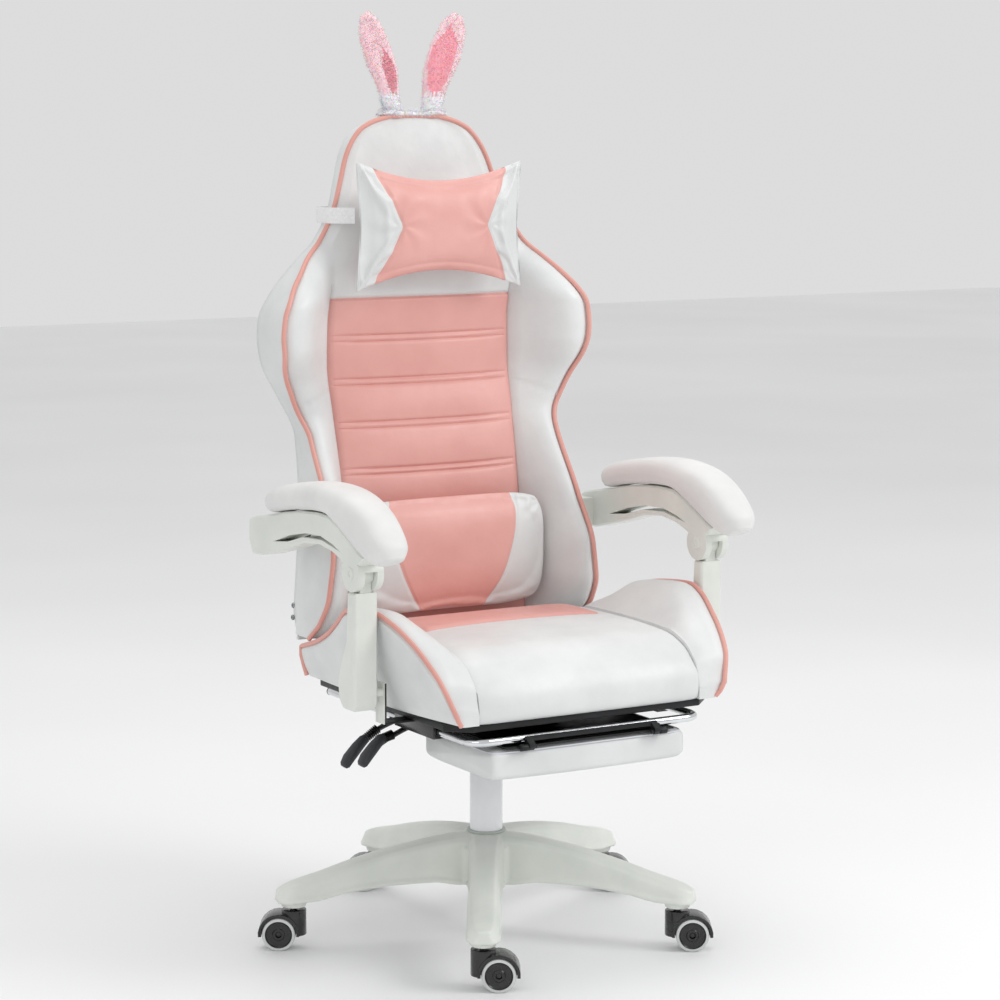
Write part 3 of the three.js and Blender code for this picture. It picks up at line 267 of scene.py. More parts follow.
def piece(name, mesh, body, materials, nodes=(), pick=None, sharp=40.0):
    """Puts a closed mesh in the scene, on its body, in place of the CAD nodes it stands for.

    pick(x, y, z) gives a face's material, sharp is the least angle of a hard edge.
    """
    work = bmesh.new()
    work.from_mesh(mesh)
    bmesh.ops.recalc_face_normals(work, faces=work.faces)
    work.to_mesh(mesh)
    work.free()
    made = linked(name, mesh)
    chosen = [face.material_index for face in mesh.polygons]
    mesh.materials.clear()
    for material in materials:
        mesh.materials.append(material)
    for face, index in zip(mesh.polygons, chosen):
        face.material_index = min(index, len(materials) - 1)
    if pick:
        for face in mesh.polygons:
            face.material_index = pick(*place_of(face.center))
    mesh.shade_smooth()
    if sharp:
        mesh.set_sharp_from_angle(angle=radians(sharp))
    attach(made, body)
    if nodes:
        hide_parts(*nodes)
    return made


def mesh_of(name, points, faces):
    mesh = bpy.data.meshes.new(name)
    mesh.from_pydata(points, [], faces)
    return mesh


def skin(name, rings):
    """A mesh over rings of equal length, with a fan over each end."""
    count = len(rings[0])
    points = [at(*p) for ring in rings for p in ring]
    faces = []
    for r in range(len(rings) - 1):
        for i in range(count):
            a = r * count + i
            b = r * count + (i + 1) % count
            faces.append((a, b, b + count, a + count))
    for ring in (0, len(rings) - 1):
        points.append(sum((points[ring * count + i] for i in range(count)), Vector()) / count)
        for i in range(count):
            a = ring * count + i
            b = ring * count + (i + 1) % count
            faces.append((len(points) - 1, b, a) if ring == 0 else (len(points) - 1, a, b))
    return mesh_of(name, points, faces)


def frames(path):
    """Unit side and up vectors along a path, carried without twist."""
    last = len(path) - 1
    tangents = [(path[min(last, i + 1)] - path[max(0, i - 1)]).normalized() for i in range(last + 1)]
    side = tangents[0].orthogonal().normalized()
    result = []
    for t in tangents:
        side = (side - t * side.dot(t)).normalized()
        result.append((t, side, t.cross(side)))
    return result


def circle(centre, u, v, radius, sides):
    turns = (2 * pi * k / sides for k in range(sides))
    return [centre + (u * cos(a) + v * sin(a)) * radius for a in turns]


def tube(name, path, radius, sides=12):
    """A rod along points in millimetres; the radius may be a function of the share along it."""
    points = [Vector(p) for p in path]
    rings = []
    for i, (_, u, v) in enumerate(frames(points)):
        r = radius(i / (len(points) - 1)) if callable(radius) else radius
        rings.append(circle(points[i], u, v, r, sides))
    return skin(name, rings)


def curve(points, steps):
    """A smooth line through points with any number of coordinates, by Catmull and Rom."""
    out = []
    for i in range(len(points) - 1):
        near = points[max(0, i - 1)], points[i], points[i + 1], points[min(len(points) - 1, i + 2)]
        for k in range(steps):
            t = k / steps
            out.append([0.5 * (2 * b + (c - a) * t + (2 * a - 5 * b + 4 * c - d) * t ** 2
                               + (3 * b - a - 3 * c + d) * t ** 3) for a, b, c, d in zip(*near)])
    out.append(list(points[-1]))
    return out


def round_ring(half_u, half_v, power, count):
    """A flat ring between an ellipse, at power 2, and a rectangle, at high powers."""
    ring = []
    for i in range(count):
        a = 2 * pi * (i + 0.5) / count
        c = cos(a)
        s = sin(a)
        size = (abs(c) ** power + abs(s) ** power) ** (-1 / power)
        ring.append((half_u * c * size, half_v * s * size))
    return ring


def lathe(name, outline, place, axis=UP, sides=48):
    """A turned closed mesh from (radius, height) points about an axis through a place, in millimetres."""
    turn = axis.normalized()
    u = turn.orthogonal().normalized()
    v = turn.cross(u)
    return skin(name, [circle(Vector(place) + turn * h, u, v, max(r, 0.01), sides) for r, h in outline])


def joined(name, meshes):
    """The meshes as one, and the single ones removed."""
    work = bmesh.new()
    for mesh in meshes:
        work.from_mesh(mesh)
    out = bpy.data.meshes.new(name)
    work.to_mesh(out)
    work.free()
    for mesh in meshes:
        bpy.data.meshes.remove(mesh)
    return out


def evaluated(mesh, *modifiers):
    """The mesh after modifiers, each given by its kind and settings."""
    made = linked("passing", mesh)
    for kind, settings in modifiers:
        modifier = made.modifiers.new(kind.lower(), kind)
        for key, value in settings.items():
            setattr(modifier, key, value)
    graph = bpy.context.evaluated_depsgraph_get()
    out = bpy.data.meshes.new_from_object(made.evaluated_get(graph))
    bpy.data.objects.remove(made)
    bpy.data.meshes.remove(mesh)
    return out


def melted(mesh, passes):
    """One moulded skin round overlapping closed shapes, with soft inner corners."""
    return evaluated(mesh, ("REMESH", {"mode": "VOXEL", "voxel_size": 0.0022}),
                     ("SMOOTH", {"iterations": passes, "factor": 0.5}))


def from_node(node):
    """A copy of a CAD solid without the cuts across its flat faces."""
    work = bmesh.new()
    work.from_mesh(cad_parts[node].data)
    bmesh.ops.remove_doubles(work, verts=work.verts, dist=2e-5)
    bmesh.ops.dissolve_limit(work, angle_limit=radians(1.0), verts=work.verts, edges=work.edges)
    mesh = bpy.data.meshes.new(node)
    work.to_mesh(mesh)
    work.free()
    return mesh


def softened(node, body, material, width, limit=32.0, segments=2):
    """A hard part with the small edge rounds of its mould or press."""
    settings = {"width": width / 1000.0, "segments": segments, "limit_method": "ANGLE",
                "angle_limit": radians(limit), "use_clamp_overlap": True}
    mesh = evaluated(from_node(node), ("BEVEL", settings))
    return piece("look_" + node, mesh, body, [material], [node])


def stitches(name, path, body, material, pitch=4.2, length=2.9, radius=0.55):
    """A row of thread stitches along a line."""
    points = [Vector(p) for p in path]
    spans = [(b - a).length for a, b in zip(points, points[1:])]
    meshes = []

    def spot(distance):
        for i, span in enumerate(spans):
            if distance <= span or i == len(spans) - 1:
                return points[i].lerp(points[i + 1], min(1.0, distance / max(span, 1e-6)))
            distance -= span

    for k in range(int(sum(spans) / pitch)):
        a = spot(k * pitch + 0.5)
        b = spot(k * pitch + 0.5 + length)
        meshes.append(tube("stitch", [a, (a + b) / 2, b], radius, 5))
    return piece(name, joined(name, meshes), body, [material], sharp=0)


CLOTH = {"quality": 6, "mass": 0.2, "tension_stiffness": 12, "compression_stiffness": 10,
         "shear_stiffness": 4, "bending_stiffness": 1.2, "use_pressure": True, "uniform_pressure_force": 3.0,
         "shrink_min": -0.01, "shrink_max": -0.01, "vertex_group_mass": "held", "pin_stiffness": 1.0}
CLOTH_FRAMES = 20


def inflated(mesh, cap, held):
    """Blows the closed shape up as cloth, with held points kept, and caps how far a point moves."""
    made = linked("passing", mesh)
    rest = np.array([v.co for v in mesh.vertices])
    made.vertex_groups.new(name="held").add(held, 1.0, "REPLACE")
    cloth = made.modifiers.new("cloth", "CLOTH")
    for key, value in CLOTH.items():
        setattr(cloth.settings, key, value)
    cloth.settings.effector_weights.gravity = 0.0
    cloth.point_cache.frame_start = 1
    cloth.point_cache.frame_end = CLOTH_FRAMES
    scene = bpy.context.scene
    for frame_number in range(1, CLOTH_FRAMES + 1):
        scene.frame_set(frame_number)
    graph = bpy.context.evaluated_depsgraph_get()
    moved = made.evaluated_get(graph).to_mesh()
    now = np.array([v.co for v in moved.vertices])
    made.evaluated_get(graph).to_mesh_clear()
    made.modifiers.clear()
    scene.frame_set(1)
    step = now - rest
    size = np.linalg.norm(step, axis=1)
    step *= np.minimum(1.0, cap / np.maximum(size, 1e-9))[:, None]
    mesh.vertices.foreach_set("co", (rest + step).astype(np.float32).ravel())
    bpy.data.objects.remove(made)
    mesh.update()
    return mesh


# ---- the back
BACK_BOTTOM = 457.0
BACK_HEIGHT = 775.0
SEAM = 156.0         # half the centre panel's width
WHITE_FROM = 959.0   # the head's white starts here, above the pink
CHANNELS = (898.0, 832.0, 767.0, 697.0)
CHANNEL_SAG = 2.0    # a channel dips this much at the middle
CHANNEL_HALF = 4.6   # half the width between its two rows of stitches
FRONT_DEPTH = 24.0   # from the panel line to the rear cover
REAR_DEPTH = 25.0

# The outline's half width, the depth of its edge and of the middle, from 0 at the bottom to 1 at the crown
edge_x = through([(0, 240), (.07, 234), (.15, 226), (.25, 217), (.38, 214), (.46, 237), (.53, 260),
                  (.58, 265), (.62, 262), (.66, 247), (.72, 206.5), (.76, 175), (.82, 148), (.88, 132),
                  (.92, 122), (.95, 110), (.975, 93), (.99, 70), (1, 40)])
edge_y = through([(0, 113), (.035, 82), (.09, 61), (.15, 60), (.25, 92), (.38, 154), (.43, 170), (.48, 164),
                  (.56, 138), (.63, 137), (.69, 162), (.75, 196), (.85, 206), (1, 221)])
panel_y = through([(0, 137), (.13, 148), (.29, 164), (.42, 184), (.52, 200), (.6, 199), (.66, 191),
                   (.78, 190), (.9, 206), (1, 221)])


def back_z(t):
    return BACK_BOTTOM + t * BACK_HEIGHT


def back_t(z):
    return (z - BACK_BOTTOM) / BACK_HEIGHT


def seam_x(t):
    """Half the centre panel's width at a height."""
    return min(SEAM + 3 * bump(t, .52, .12), 0.88 * edge_x(t))


def panel_relief(x, z, half):
    """The padded channels: a puff between the stitched bands, two narrow grooves at each band."""
    if z > WHITE_FROM + 4:
        return 0.0
    sag = CHANNEL_SAG * (1 - (x / half) ** 2)
    push = 0.0
    for channel in CHANNELS:
        mid = channel - sag
        push += 2.6 * (bump(z, mid + CHANNEL_HALF, 1.9) + bump(z, mid - CHANNEL_HALF, 1.9))
        push -= 0.5 * bump(z, mid, 3.0)
    edges = sorted(CHANNELS) + [WHITE_FROM]
    for lowest, highest in zip([640.0] + edges[:-1], edges):
        if lowest < z < highest:
            share = (z - lowest) / (highest - lowest)
            push -= 3.6 * sin(pi * share) ** 0.7
    across = 1 - abs(x / half) ** 6
    return push * max(0.0, across)


def back_front(x, t):
    """Depth of the back's front surface."""
    z = back_z(t)
    seam = seam_x(t)
    line = panel_y(t)
    rim = edge_y(t)
    size = abs(x)
    head = smooth(WHITE_FROM, WHITE_FROM + 70, z)
    groove = 5.0 * bump(size, seam, 3.2) if z < WHITE_FROM + 20 else 0.0
    if size <= seam:
        y = line + 4.0 - 6.5 * (1 - (size / seam) ** 2) + groove + panel_relief(x, z, seam)
        y += 4.0 * bump(z, WHITE_FROM, 2.6) * (1 - smooth(seam - 4, seam + 4, size))
        outer = head * smooth(0.62, 1.0, size / seam)
        return y * (1 - outer) + (line + (rim - line) * 0.35) * outer
    wide = max(edge_x(t) - seam, 1.0)
    s = min(1.0, (size - seam) / wide)
    start = line + 4.0
    brow = min(rim - 2.0, start)
    y = start + (brow - start) * smooth(-0.15, 0.86, s)
    y -= 7.0 * sin(pi * min(1.0, s * 1.05)) * min(1.0, wide / 60.0)
    y += (rim + 4.0 - brow) * smooth(0.86, 1.0, s) ** 1.6
    dart = 2.2 * bump(z, 824.0 - (size - seam) * 0.37, 2.4) * smooth(0, 10, size - seam)
    flat = line + (rim - line) * (0.35 + 0.65 * s)
    return (y + groove) * (1 - head) + flat * head + dart


def back_rows():
    """The heights of the mesh's rows, closer together at the seams and the crown."""
    rows = [i / 150 for i in range(151)]
    for z in CHANNELS + (WHITE_FROM,):
        rows += [back_t(z + d) for d in (-9, -7, -6, -4.6, -3.2, -1.6, 0, 1.6, 3.2, 4.6, 6, 7, 9)]
    rows += [.9933 + .0011 * i for i in range(6)]
    kept = []
    for r in sorted(set(round(r, 5) for r in rows)):
        if not kept or r - kept[-1] > 0.0009:
            kept.append(r)
    return kept


def back_upholstery():
    """The centre panel and both wings as one skin."""
    rings = []
    for t in back_rows():
        seam = seam_x(t)
        edge = edge_x(t)
        half = [seam * (1 - (1 - i / 26) ** 1.25) for i in range(27)]
        half += [seam + (edge - seam) * (1 - (1 - i / 18) ** 1.4) for i in range(1, 19)]
        z = back_z(t)
        rear = panel_y(t) + FRONT_DEPTH - 0.6
        front = [(x, min(back_front(x, t), rear - 3), z) for x in half]
        last = front[-1][1]
        side = [(edge + 1.6 * sin(pi * s), last + (rear - last) * s, z) for s in (.15, .35, .6, .85, 1)]
        back = [(edge * s, rear, z) for s in (.97, .8, .5, .2)]
        right = front + side + back
        rings.append(right + mirrored(right)[:-1])
    return skin("back_upholstery", rings)


def back_colour(x, y, z):
    t = back_t(z)
    return 1 if z < WHITE_FROM and abs(x) < seam_x(t) and y < panel_y(t) + 16 else 0


piece("back_upholstery", back_upholstery(), "back", [WHITE, PINK],
      ["back_cushion", "back_wing_left", "back_wing_right"], back_colour, 55.0)

REAR_SEAM = 118.0    # the rear cover's side seams, from the middle


def rear_cover():
    """The plain rear panel, with a seam down each side and one across each end."""
    rings = []
    count = 40
    for row in range(131):
        t = -0.012 + 1.012 * row / 130
        end = max(0.0, abs(t - 0.5) - 0.46) / 0.04
        half = edge_x(t) - 0.5 - 4 * min(1.0, end)
        front = panel_y(t) + FRONT_DEPTH
        rear = front + REAR_DEPTH - 6 * min(1.0, end)
        z = back_z(t)
        ring = [(-half, front, z), (half, front, z)]
        for i in range(count + 1):
            s = 1 - 2 * i / count
            x = half * (abs(s) ** 0.85) * (1 if s >= 0 else -1)
            fall = max(0.0, abs(s) - 0.86) / 0.14
            y = rear + 3.0 * (1 - s * s) - 14.0 * fall ** 2.2
            y -= 2.4 * bump(abs(x), REAR_SEAM, 2.6) * smooth(0.06, 0.12, t) * (1 - smooth(0.86, 0.9, t))
            y -= 2.4 * (bump(t, 0.09, 0.004) + bump(t, 0.88, 0.004)) * (1 if abs(x) < REAR_SEAM else 0)
            ring.append((x, y, z))
        rings.append(ring)
    return skin("back_rear", rings)


piece("back_rear", rear_cover(), "back", [WHITE], ["back_rear_cover"], None, 55.0)


def rear_line(x, t):
    """A place on the rear cover's skin, just proud of it."""
    half = edge_x(t) - 0.5
    s = (abs(x) / half) ** (1 / 0.85)
    return (x, panel_y(t) + FRONT_DEPTH + REAR_DEPTH + 3.0 * (1 - s * s) + 0.2, back_z(t))


for sign, side in SIDES:
    for offset in (-4.5, 4.5):
        line = [rear_line(sign * (REAR_SEAM + offset), 0.1 + 0.77 * i / 60) for i in range(61)]
        stitches(f"rear_stitch_{side}_{'outer' if offset > 0 else 'inner'}", line, "back", WHITE_THREAD,
                 4.6, 3.2, 0.6)

back_edge = []
for step in range(161):
    t = 1 - (1 - step / 160) ** 1.25
    back_edge.append((edge_x(t) + 1.5, edge_y(t) - 0.5, back_z(t) + 1.2 * smooth(.95, 1, t)))
crown = [(x, edge_y(1) - 0.5, back_z(1) + 1.2) for x in (26, 13, 0, -13, -26)]
around = back_edge + crown + mirrored(back_edge)
piece("back_piping", tube("back_piping", around, 3.7), "back", [PIPING])

for index, channel in enumerate(CHANNELS):
    for part, offset in (("upper", CHANNEL_HALF), ("lower", -CHANNEL_HALF)):
        line = []
        for i in range(61):
            x = (SEAM - 4) * (i / 30 - 1)
            z = channel - CHANNEL_SAG * (1 - (x / SEAM) ** 2) + offset
            line.append((x, back_front(x, back_t(z)) - 0.3, z))
        stitches(f"channel_{index + 1}_{part}_stitch", line, "back", THREAD)

for sign, side in SIDES:
    for index, z in enumerate((498.0, 480.0)):
        t = back_t(z)
        head = lathe("bolt", [(0, 0), (4.2, 0), (4.4, 1.2), (3.6, 2.6), (1.6, 3.0), (1.4, 1.8), (0, 1.8)],
                     (sign * (edge_x(t) - 1.4), panel_y(t) + 36.0, z), Vector((sign, 0, 0)), 20)
        piece(f"back_bolt_{side}_{index + 1}", head, "back", [STEEL])

# ---- the seat
SEAT_BOTTOM = 394.0
seat_top = through([(-294, 445), (-284, 456), (-260, 475), (-216, 488), (-126, 491), (-6, 489), (75, 476),
                    (125, 450)])
insert_half = through([(-90, 150), (-60, 153), (0, 158), (125, 164)])


def insert_front(x):
    """The front edge of the seat's pink."""
    return -69.0 - 17.0 * (x / 150.0) ** 2


SEAT_HALF = 184.0    # half the width of the seat's centre


def seat_cushion():
    """Rings from one side to the other, each round the cushion from the front to the back."""
    front = [(-298, 394), (-303, 398), (-305, 406), (-305, 418), (-303, 430), (-299, 438)]
    tops = []
    y = -294.0
    while y < 112:
        tops.append(y)
        y += 3.0 if -92 < y < -60 else 6.0
    rings = []
    for i in range(-34, 35):
        x = (SEAT_HALF - 0.4) * copysign(1 - (1 - abs(i / 34)) ** 1.3, i)
        tuck = 9.0 * abs(x / SEAT_HALF) ** 14 + 2.0 * abs(x / SEAT_HALF) ** 4
        ring = [(x, yy + 0.5 * tuck, zz) for yy, zz in front]
        for yy in tops:
            z = seat_top(yy) + 2.5 - tuck
            edge = min(insert_half(yy) - abs(x), yy - insert_front(x))
            z += smooth(-1, 14, edge) * 3.0 - 3.2 * bump(edge, 0, 2.6) * (1 if yy > -100 else 0)
            ring.append((x, yy, z))
        ring += [(x, 120, seat_top(125) - 4 - 0.6 * tuck), (x, 125, 436), (x, 125, 396), (x, 120, 394)]
        ring += [(x, yy, 394) for yy in (40, -60, -160, -250)]
        rings.append(ring)
    return skin("seat_centre", rings)


def seat_colour(x, y, z):
    return 1 if abs(x) < insert_half(y) and y > insert_front(x) and z > 440 else 0


piece("seat_centre", seat_cushion(), "seat", [WHITE, PINK], ["seat_cushion"],
      seat_colour, 55.0)

# The bolster's top, its widest and its foot, by distance from the front
crest_line = through([(0, 416), (14, 452), (30, 472), (68, 503), (114, 528), (145, 536), (200, 532),
                      (248, 524), (281, 504), (321, 479), (366, 459), (430, 440)])
reach_line = through([(0, 226), (16, 239), (68, 253), (145, 267), (226, 263), (281, 255), (366, 246),
                      (430, 239)])
foot_line = through([(0, 213), (60, 224), (200, 236), (430, 228)])
BACKWARD = 444 / 425   # how far towards the back one step along these lines goes


def bolster(sign):
    """Sections across one side bolster, from the front to the back."""
    rings = []
    for i in range(111):
        step = 425 * (i / 110) ** 1.25
        y = -304 + step * BACKWARD
        crest = crest_line(step)
        reach = reach_line(step)
        foot = foot_line(step)
        inner = SEAT_HALF + 0.4
        seam = min(seat_top(y) - 3, crest - 4)
        end = 1 - smooth(0, 14, step)
        mid = (inner + reach) / 2
        tall = crest - SEAT_BOTTOM
        share = min(1.0, tall / 80.0)
        top = [(inner, SEAT_BOTTOM), (inner, (SEAT_BOTTOM + seam) / 2), (inner, seam - 3),
               (inner + 2.5, seam + 2 * share), (mid - 14 * share, seam + (crest - seam) * 0.52 + 5 * share),
               (mid + 4 * share, seam + (crest - seam) * 0.88 + 4 * share),
               (reach - 18 * share, crest + 4.5 * share), (reach - 6 * share, crest + 1.0),
               (reach - 0.5, crest - 4.5 * share), (reach + 1.5 * share, crest - 14 * share),
               ((reach + foot) / 2 + 3.5 * share, SEAT_BOTTOM + 0.44 * tall),
               (foot + 1, SEAT_BOTTOM + 0.12 * tall), (foot - 2, SEAT_BOTTOM + 1.5 * share),
               (foot - 10, SEAT_BOTTOM)]
        rings.append([(sign * x, y + 3 * end, max(z, SEAT_BOTTOM)) for x, z in curve(top, 4)])
    return skin("bolster", rings)


def bolster_piping(sign):
    path = [(213, -300, 396), (219, -303.5, 404)]
    for i in range(111):
        step = 430 * (i / 110) ** 1.25
        path.append((reach_line(step) - 0.5, -305 + step * BACKWARD, crest_line(step) + 1.0))
    path += [(239, 143.5, 428), (234, 144.5, 410), (230, 144, 396)]
    return [(sign * x, y, z) for x, y, z in path]


for sign, side in SIDES:
    piece(f"bolster_{side}", bolster(sign), "seat", [WHITE], [f"seat_bolster_{side}"],
          None, 55.0)
    piece(f"bolster_piping_{side}", tube("piping", bolster_piping(sign), 3.5, 10), "seat", [PIPING])


# ---- the pillows
def pillow_mesh(name, centre, half_x, half_z, half_y, outline, side, columns=26, ends=13, rows=36):
    """Two sheets that meet at a rim, with one column of the mesh on each seam between pink and white."""
    rings = []
    inner = [-1 + 2 * i / columns for i in range(columns + 1)]
    outer = [i / ends for i in range(1, ends + 1)]
    stations = [(-1, s) for s in reversed(outer)] + [(0, s) for s in inner] + [(1, s) for s in outer]
    for zone, share in stations:
        span = []
        for j in range(rows + 1):
            v = -1 + 2 * j / rows
            v = copysign(1 - (1 - abs(v)) ** 1.25, v)
            split = side(v * half_z) / half_x
            u = share * split if zone == 0 else zone * (split + (1 - split) * share)
            fat = max(0.0, 1 - abs(u) ** 4.0) ** 0.5 * max(0.0, 1 - abs(v) ** 3.0) ** 0.55
            x, z = outline(u, v)
            span.append((centre[0] + x * half_x, centre[2] + z * half_z, max(0.035, fat) * half_y))
        ring = [(x, centre[1] - deep, z) for x, z, deep in span]
        ring += [(x, centre[1] + deep * 0.9, z) for x, z, deep in reversed(span)]
        rings.append(ring)
    mesh = skin(name, rings)
    count = len(rings[0])
    for face in mesh.polygons:
        ring = face.index // count
        capping = face.index >= (len(rings) - 1) * count
        face.material_index = 1 if ends <= ring < ends + columns and not capping else 0
    return mesh


def wrinkled(mesh, centre, sources, depth):
    """Creases that run out from the places where the cover is pinched."""
    for vertex in mesh.vertices:
        p = place_of(vertex.co)
        if p.y > centre[1] + 8:
            continue
        push = 0.0
        for (sx, sz), reach, spokes, phase in sources:
            dx = p.x - sx
            dz = p.z - sz
            away = hypot(dx, dz)
            angle = atan2(dz, dx)
            fade = smooth(0, 10, away) * (1 - smooth(reach * 0.5, reach, away))
            push += sin(angle * spokes + phase + 0.05 * away) * fade
        vertex.co.y += push * depth / 1000.0
    mesh.update()
    return mesh


def pillow(name, mesh, centre, half_y, cap, sources, depth, node, seam):
    """Inflates a pillow between its held rims, then adds creases and sinks its seams."""
    rim = [v.index for v in mesh.vertices if abs(place_of(v.co).y - centre[1]) < half_y * 0.12]
    for material in (WHITE, PILLOW_PINK):
        mesh.materials.append(material)
    mesh = evaluated(inflated(mesh, cap, rim), ("SUBSURF", {"levels": 1, "render_levels": 1}))
    mesh = wrinkled(mesh, centre, sources, depth)
    for vertex in mesh.vertices:
        p = place_of(vertex.co)
        if p.y < centre[1]:
            vertex.co.y += 2.2 * bump(abs(p.x) - seam(p.z - centre[2]), 0, 2.0) / 1000.0
    return piece(name, mesh, "back", [WHITE, PILLOW_PINK], [node], None, 0)


HEAD = (0.0, panel_y(back_t(1069.0)) - 50.0, 1069.0)
head_side = through([(-96, 116), (-48, 94.5), (-6, 76), (0, 74.5), (6, 76), (48, 94.5), (96, 116)])


def head_outline(u, v):
    waist = 1 - 0.28 * (1 - u * u) ** 1.15
    corner = 0.035 * abs(u) ** 8 * abs(v) ** 8
    return u * (1 - 0.05 * (1 - v * v) * abs(u) ** 3 + corner), v * (waist + corner)


head_mesh = pillow_mesh("head_pillow_look", HEAD, 139, 94, 30, head_outline, head_side)
pillow("head_pillow_look", head_mesh, HEAD, 30, 0.008,
       [((sign * 76, HEAD[2]), 66, 7, 1.0) for sign in (1, -1)]
       + [((sign * 134, HEAD[2] + up * 90), 60, 9, 2.0 + up) for sign in (1, -1) for up in (1, -1)],
       1.0, "head_pillow", head_side)

LUMBAR = (0.0, panel_y(back_t(573.0)) - 37.0, 570.0)
lumbar_side = through([(-86, 56), (-60, 72), (-30, 88), (0, 99), (40, 109), (86, 114)])


def lumbar_outline(u, v):
    corner = 1 - 0.13 * abs(u) ** 6
    return u * (1 - 0.07 * abs(v) ** 5), v * corner


lumbar_mesh = pillow_mesh("lumbar_pillow_look", LUMBAR, 167, 87, 30, lumbar_outline, lumbar_side, 30, 11)
pillow("lumbar_pillow_look", lumbar_mesh, LUMBAR, 30, 0.007,
       [((sign * 158, LUMBAR[2] + up * 70), 50, 8, 1.4 + up) for sign in (1, -1) for up in (1, -1)],
       0.6, "lumbar_pillow", lumbar_side)


def head_strap():
    """The elastic band that runs from the pillow's ends round the back."""
    z = HEAD[2] + 16
    t = back_t(z)
    out = edge_x(t - 14 / BACK_HEIGHT) + 4
    rear = panel_y(t) + FRONT_DEPTH + REAR_DEPTH + 5
    half = [(131, HEAD[1] + 27, 0), (out - 5, edge_y(t) - 14, 0), (out, edge_y(t) + 4, 0),
            (out, rear - 16, 0), (out - 14, rear - 2, 0), (out / 2, rear + 1, 0)]
    path = [Vector(p) for p in curve(half + [(0, rear + 1.5, 0)] + mirrored(half), 10)]
    rings = []
    for spot, (along, _, _) in zip(path, frames(path)):
        across = Vector((along.y, -along.x, 0)).normalized()
        rings.append([(spot.x + across.x * u, spot.y + across.y * u, z + v)
                      for u, v in round_ring(0.9, 12.0, 5.0, 20)])
    return skin("head_strap_look", rings)


piece("head_strap_look", head_strap(), "back", [ELASTIC], ["head_strap"])

# ---- the ears
lean = through([(0, 34), (.2, 40), (.5, 54), (.8, 68), (1, 75)])
ear_width = through([(0, 13), (.2, 17), (.5, 26), (.7, 25), (.88, 18), (.96, 12), (1, 5)])
ear_thick = through([(0, 10), (.4, 9), (1, 4)])
EAR_FOOT = 1240.8
EAR_HEIGHT = 150.0
CROWN_Y = 228.0
EAR_WIDE = {1: 1.18, -1: 1.0}   # the sitter's left ear is the wider one
EAR_LENS = {1: (-0.14, 0.70, 0.90), -1: (-0.36, 0.44, 0.66)}   # shift, width and top of the darker inside


def ear_point(sign, s, u, v):
    tall = EAR_FOOT + s * EAR_HEIGHT + u * 0.15 * min(1.0, s * 4)
    return (sign * (lean(s) + u), CROWN_Y + v, tall)


def ear(sign):
    """One ear, dished at the front."""
    rings = []
    for i in range(41):
        s = i / 40
        taper = 1.0 if s < 0.97 else 0.55
        half = ear_width(s) * EAR_WIDE[sign]
        ring = []
        for u, v in round_ring(half * taper, ear_thick(s) * taper, 2.0, 36):
            dish = 3.2 * bump(u / half, 0, 0.5) * smooth(.08, .2, s) * (1 - smooth(.8, .95, s))
            ring.append(ear_point(sign, s, u, v + (dish if v < 0 else 0)))
        rings.append(ring)
    return skin("ear", rings)


def hairs(name, spots, material, length, thick, spread):
    """Short tapered fibres that stand out of a plush surface."""
    points = []
    faces = []
    for place, normal in spots:
        lean_by = Vector([random.gauss(0, spread) for _ in range(3)])
        out = (normal + lean_by + UP * 0.35).normalized()
        size = length * random.uniform(0.55, 1.15)
        side = out.orthogonal().normalized()
        k = len(points)
        points += [at(*p) for p in circle(place, side, out.cross(side), thick, 3) + [place + out * size]]
        faces += [(k, k + 1, k + 3), (k + 1, k + 2, k + 3), (k + 2, k, k + 3), (k + 2, k + 1, k)]
    piece(name, mesh_of(name, points, faces), "back", [material], sharp=0)


def scatter(mesh, count, choose=None):
    """Places and normals spread evenly over a mesh, in millimetres from the column."""
    mesh.calc_loop_triangles()
    triangles = []
    areas = []
    for tri in mesh.loop_triangles:
        a, b, c = (mesh.vertices[i].co for i in tri.vertices)
        if choose and not choose(*place_of((a + b + c) / 3)):
            continue
        triangles.append((a, b, c, tri.normal.copy()))
        areas.append(tri.area)
    spots = []
    for a, b, c, normal in random.choices(triangles, areas, k=count):
        u = random.random()
        v = random.random()
        if u + v > 1:
            u, v = 1 - u, 1 - v
        p = a + (b - a) * u + (c - a) * v
        spots.append((place_of(p), normal))
    return spots


for sign, side in SIDES:
    def inner_ear(x, y, z, sign=sign):
        s = (z - EAR_FOOT) / EAR_HEIGHT
        if s < 0.17 + 0.03 * sin(x * 0.9):
            return 2
        shift, wide, top = EAR_LENS[sign]
        if s > top or y > CROWN_Y - 1:
            return 0
        half = ear_width(s) * EAR_WIDE[sign]
        u = sign * x - lean(s) - shift * half
        return 1 if abs(u) < half * wide * smooth(.08, .3, s) * (1 - smooth(top - .25, top + .02, s)) else 0

    shape = piece(f"ear_{side}_look", ear(sign), "back", [PLUSH, DEEP_PLUSH, FLUFF],
                  [f"ear_{side}"], inner_ear, 0)
    for zone, part, count, material, slot, length, spread in (
            (0, "fur", 3000, PLUSH, "pink_plush", 4.2, 0.3),
            (2, "tufts", 900, FLUFF, "white_plush", 6.0, 0.4),
            (1, "inner_fur", 900, DEEP_PLUSH, "pink_plush", 2.6, 0.3)):
        spots = scatter(shape.data, count, lambda x, y, z: inner_ear(x, y, z) == zone)
        hairs(f"ear_{side}_{part}", spots, material, length, 0.3, spread)

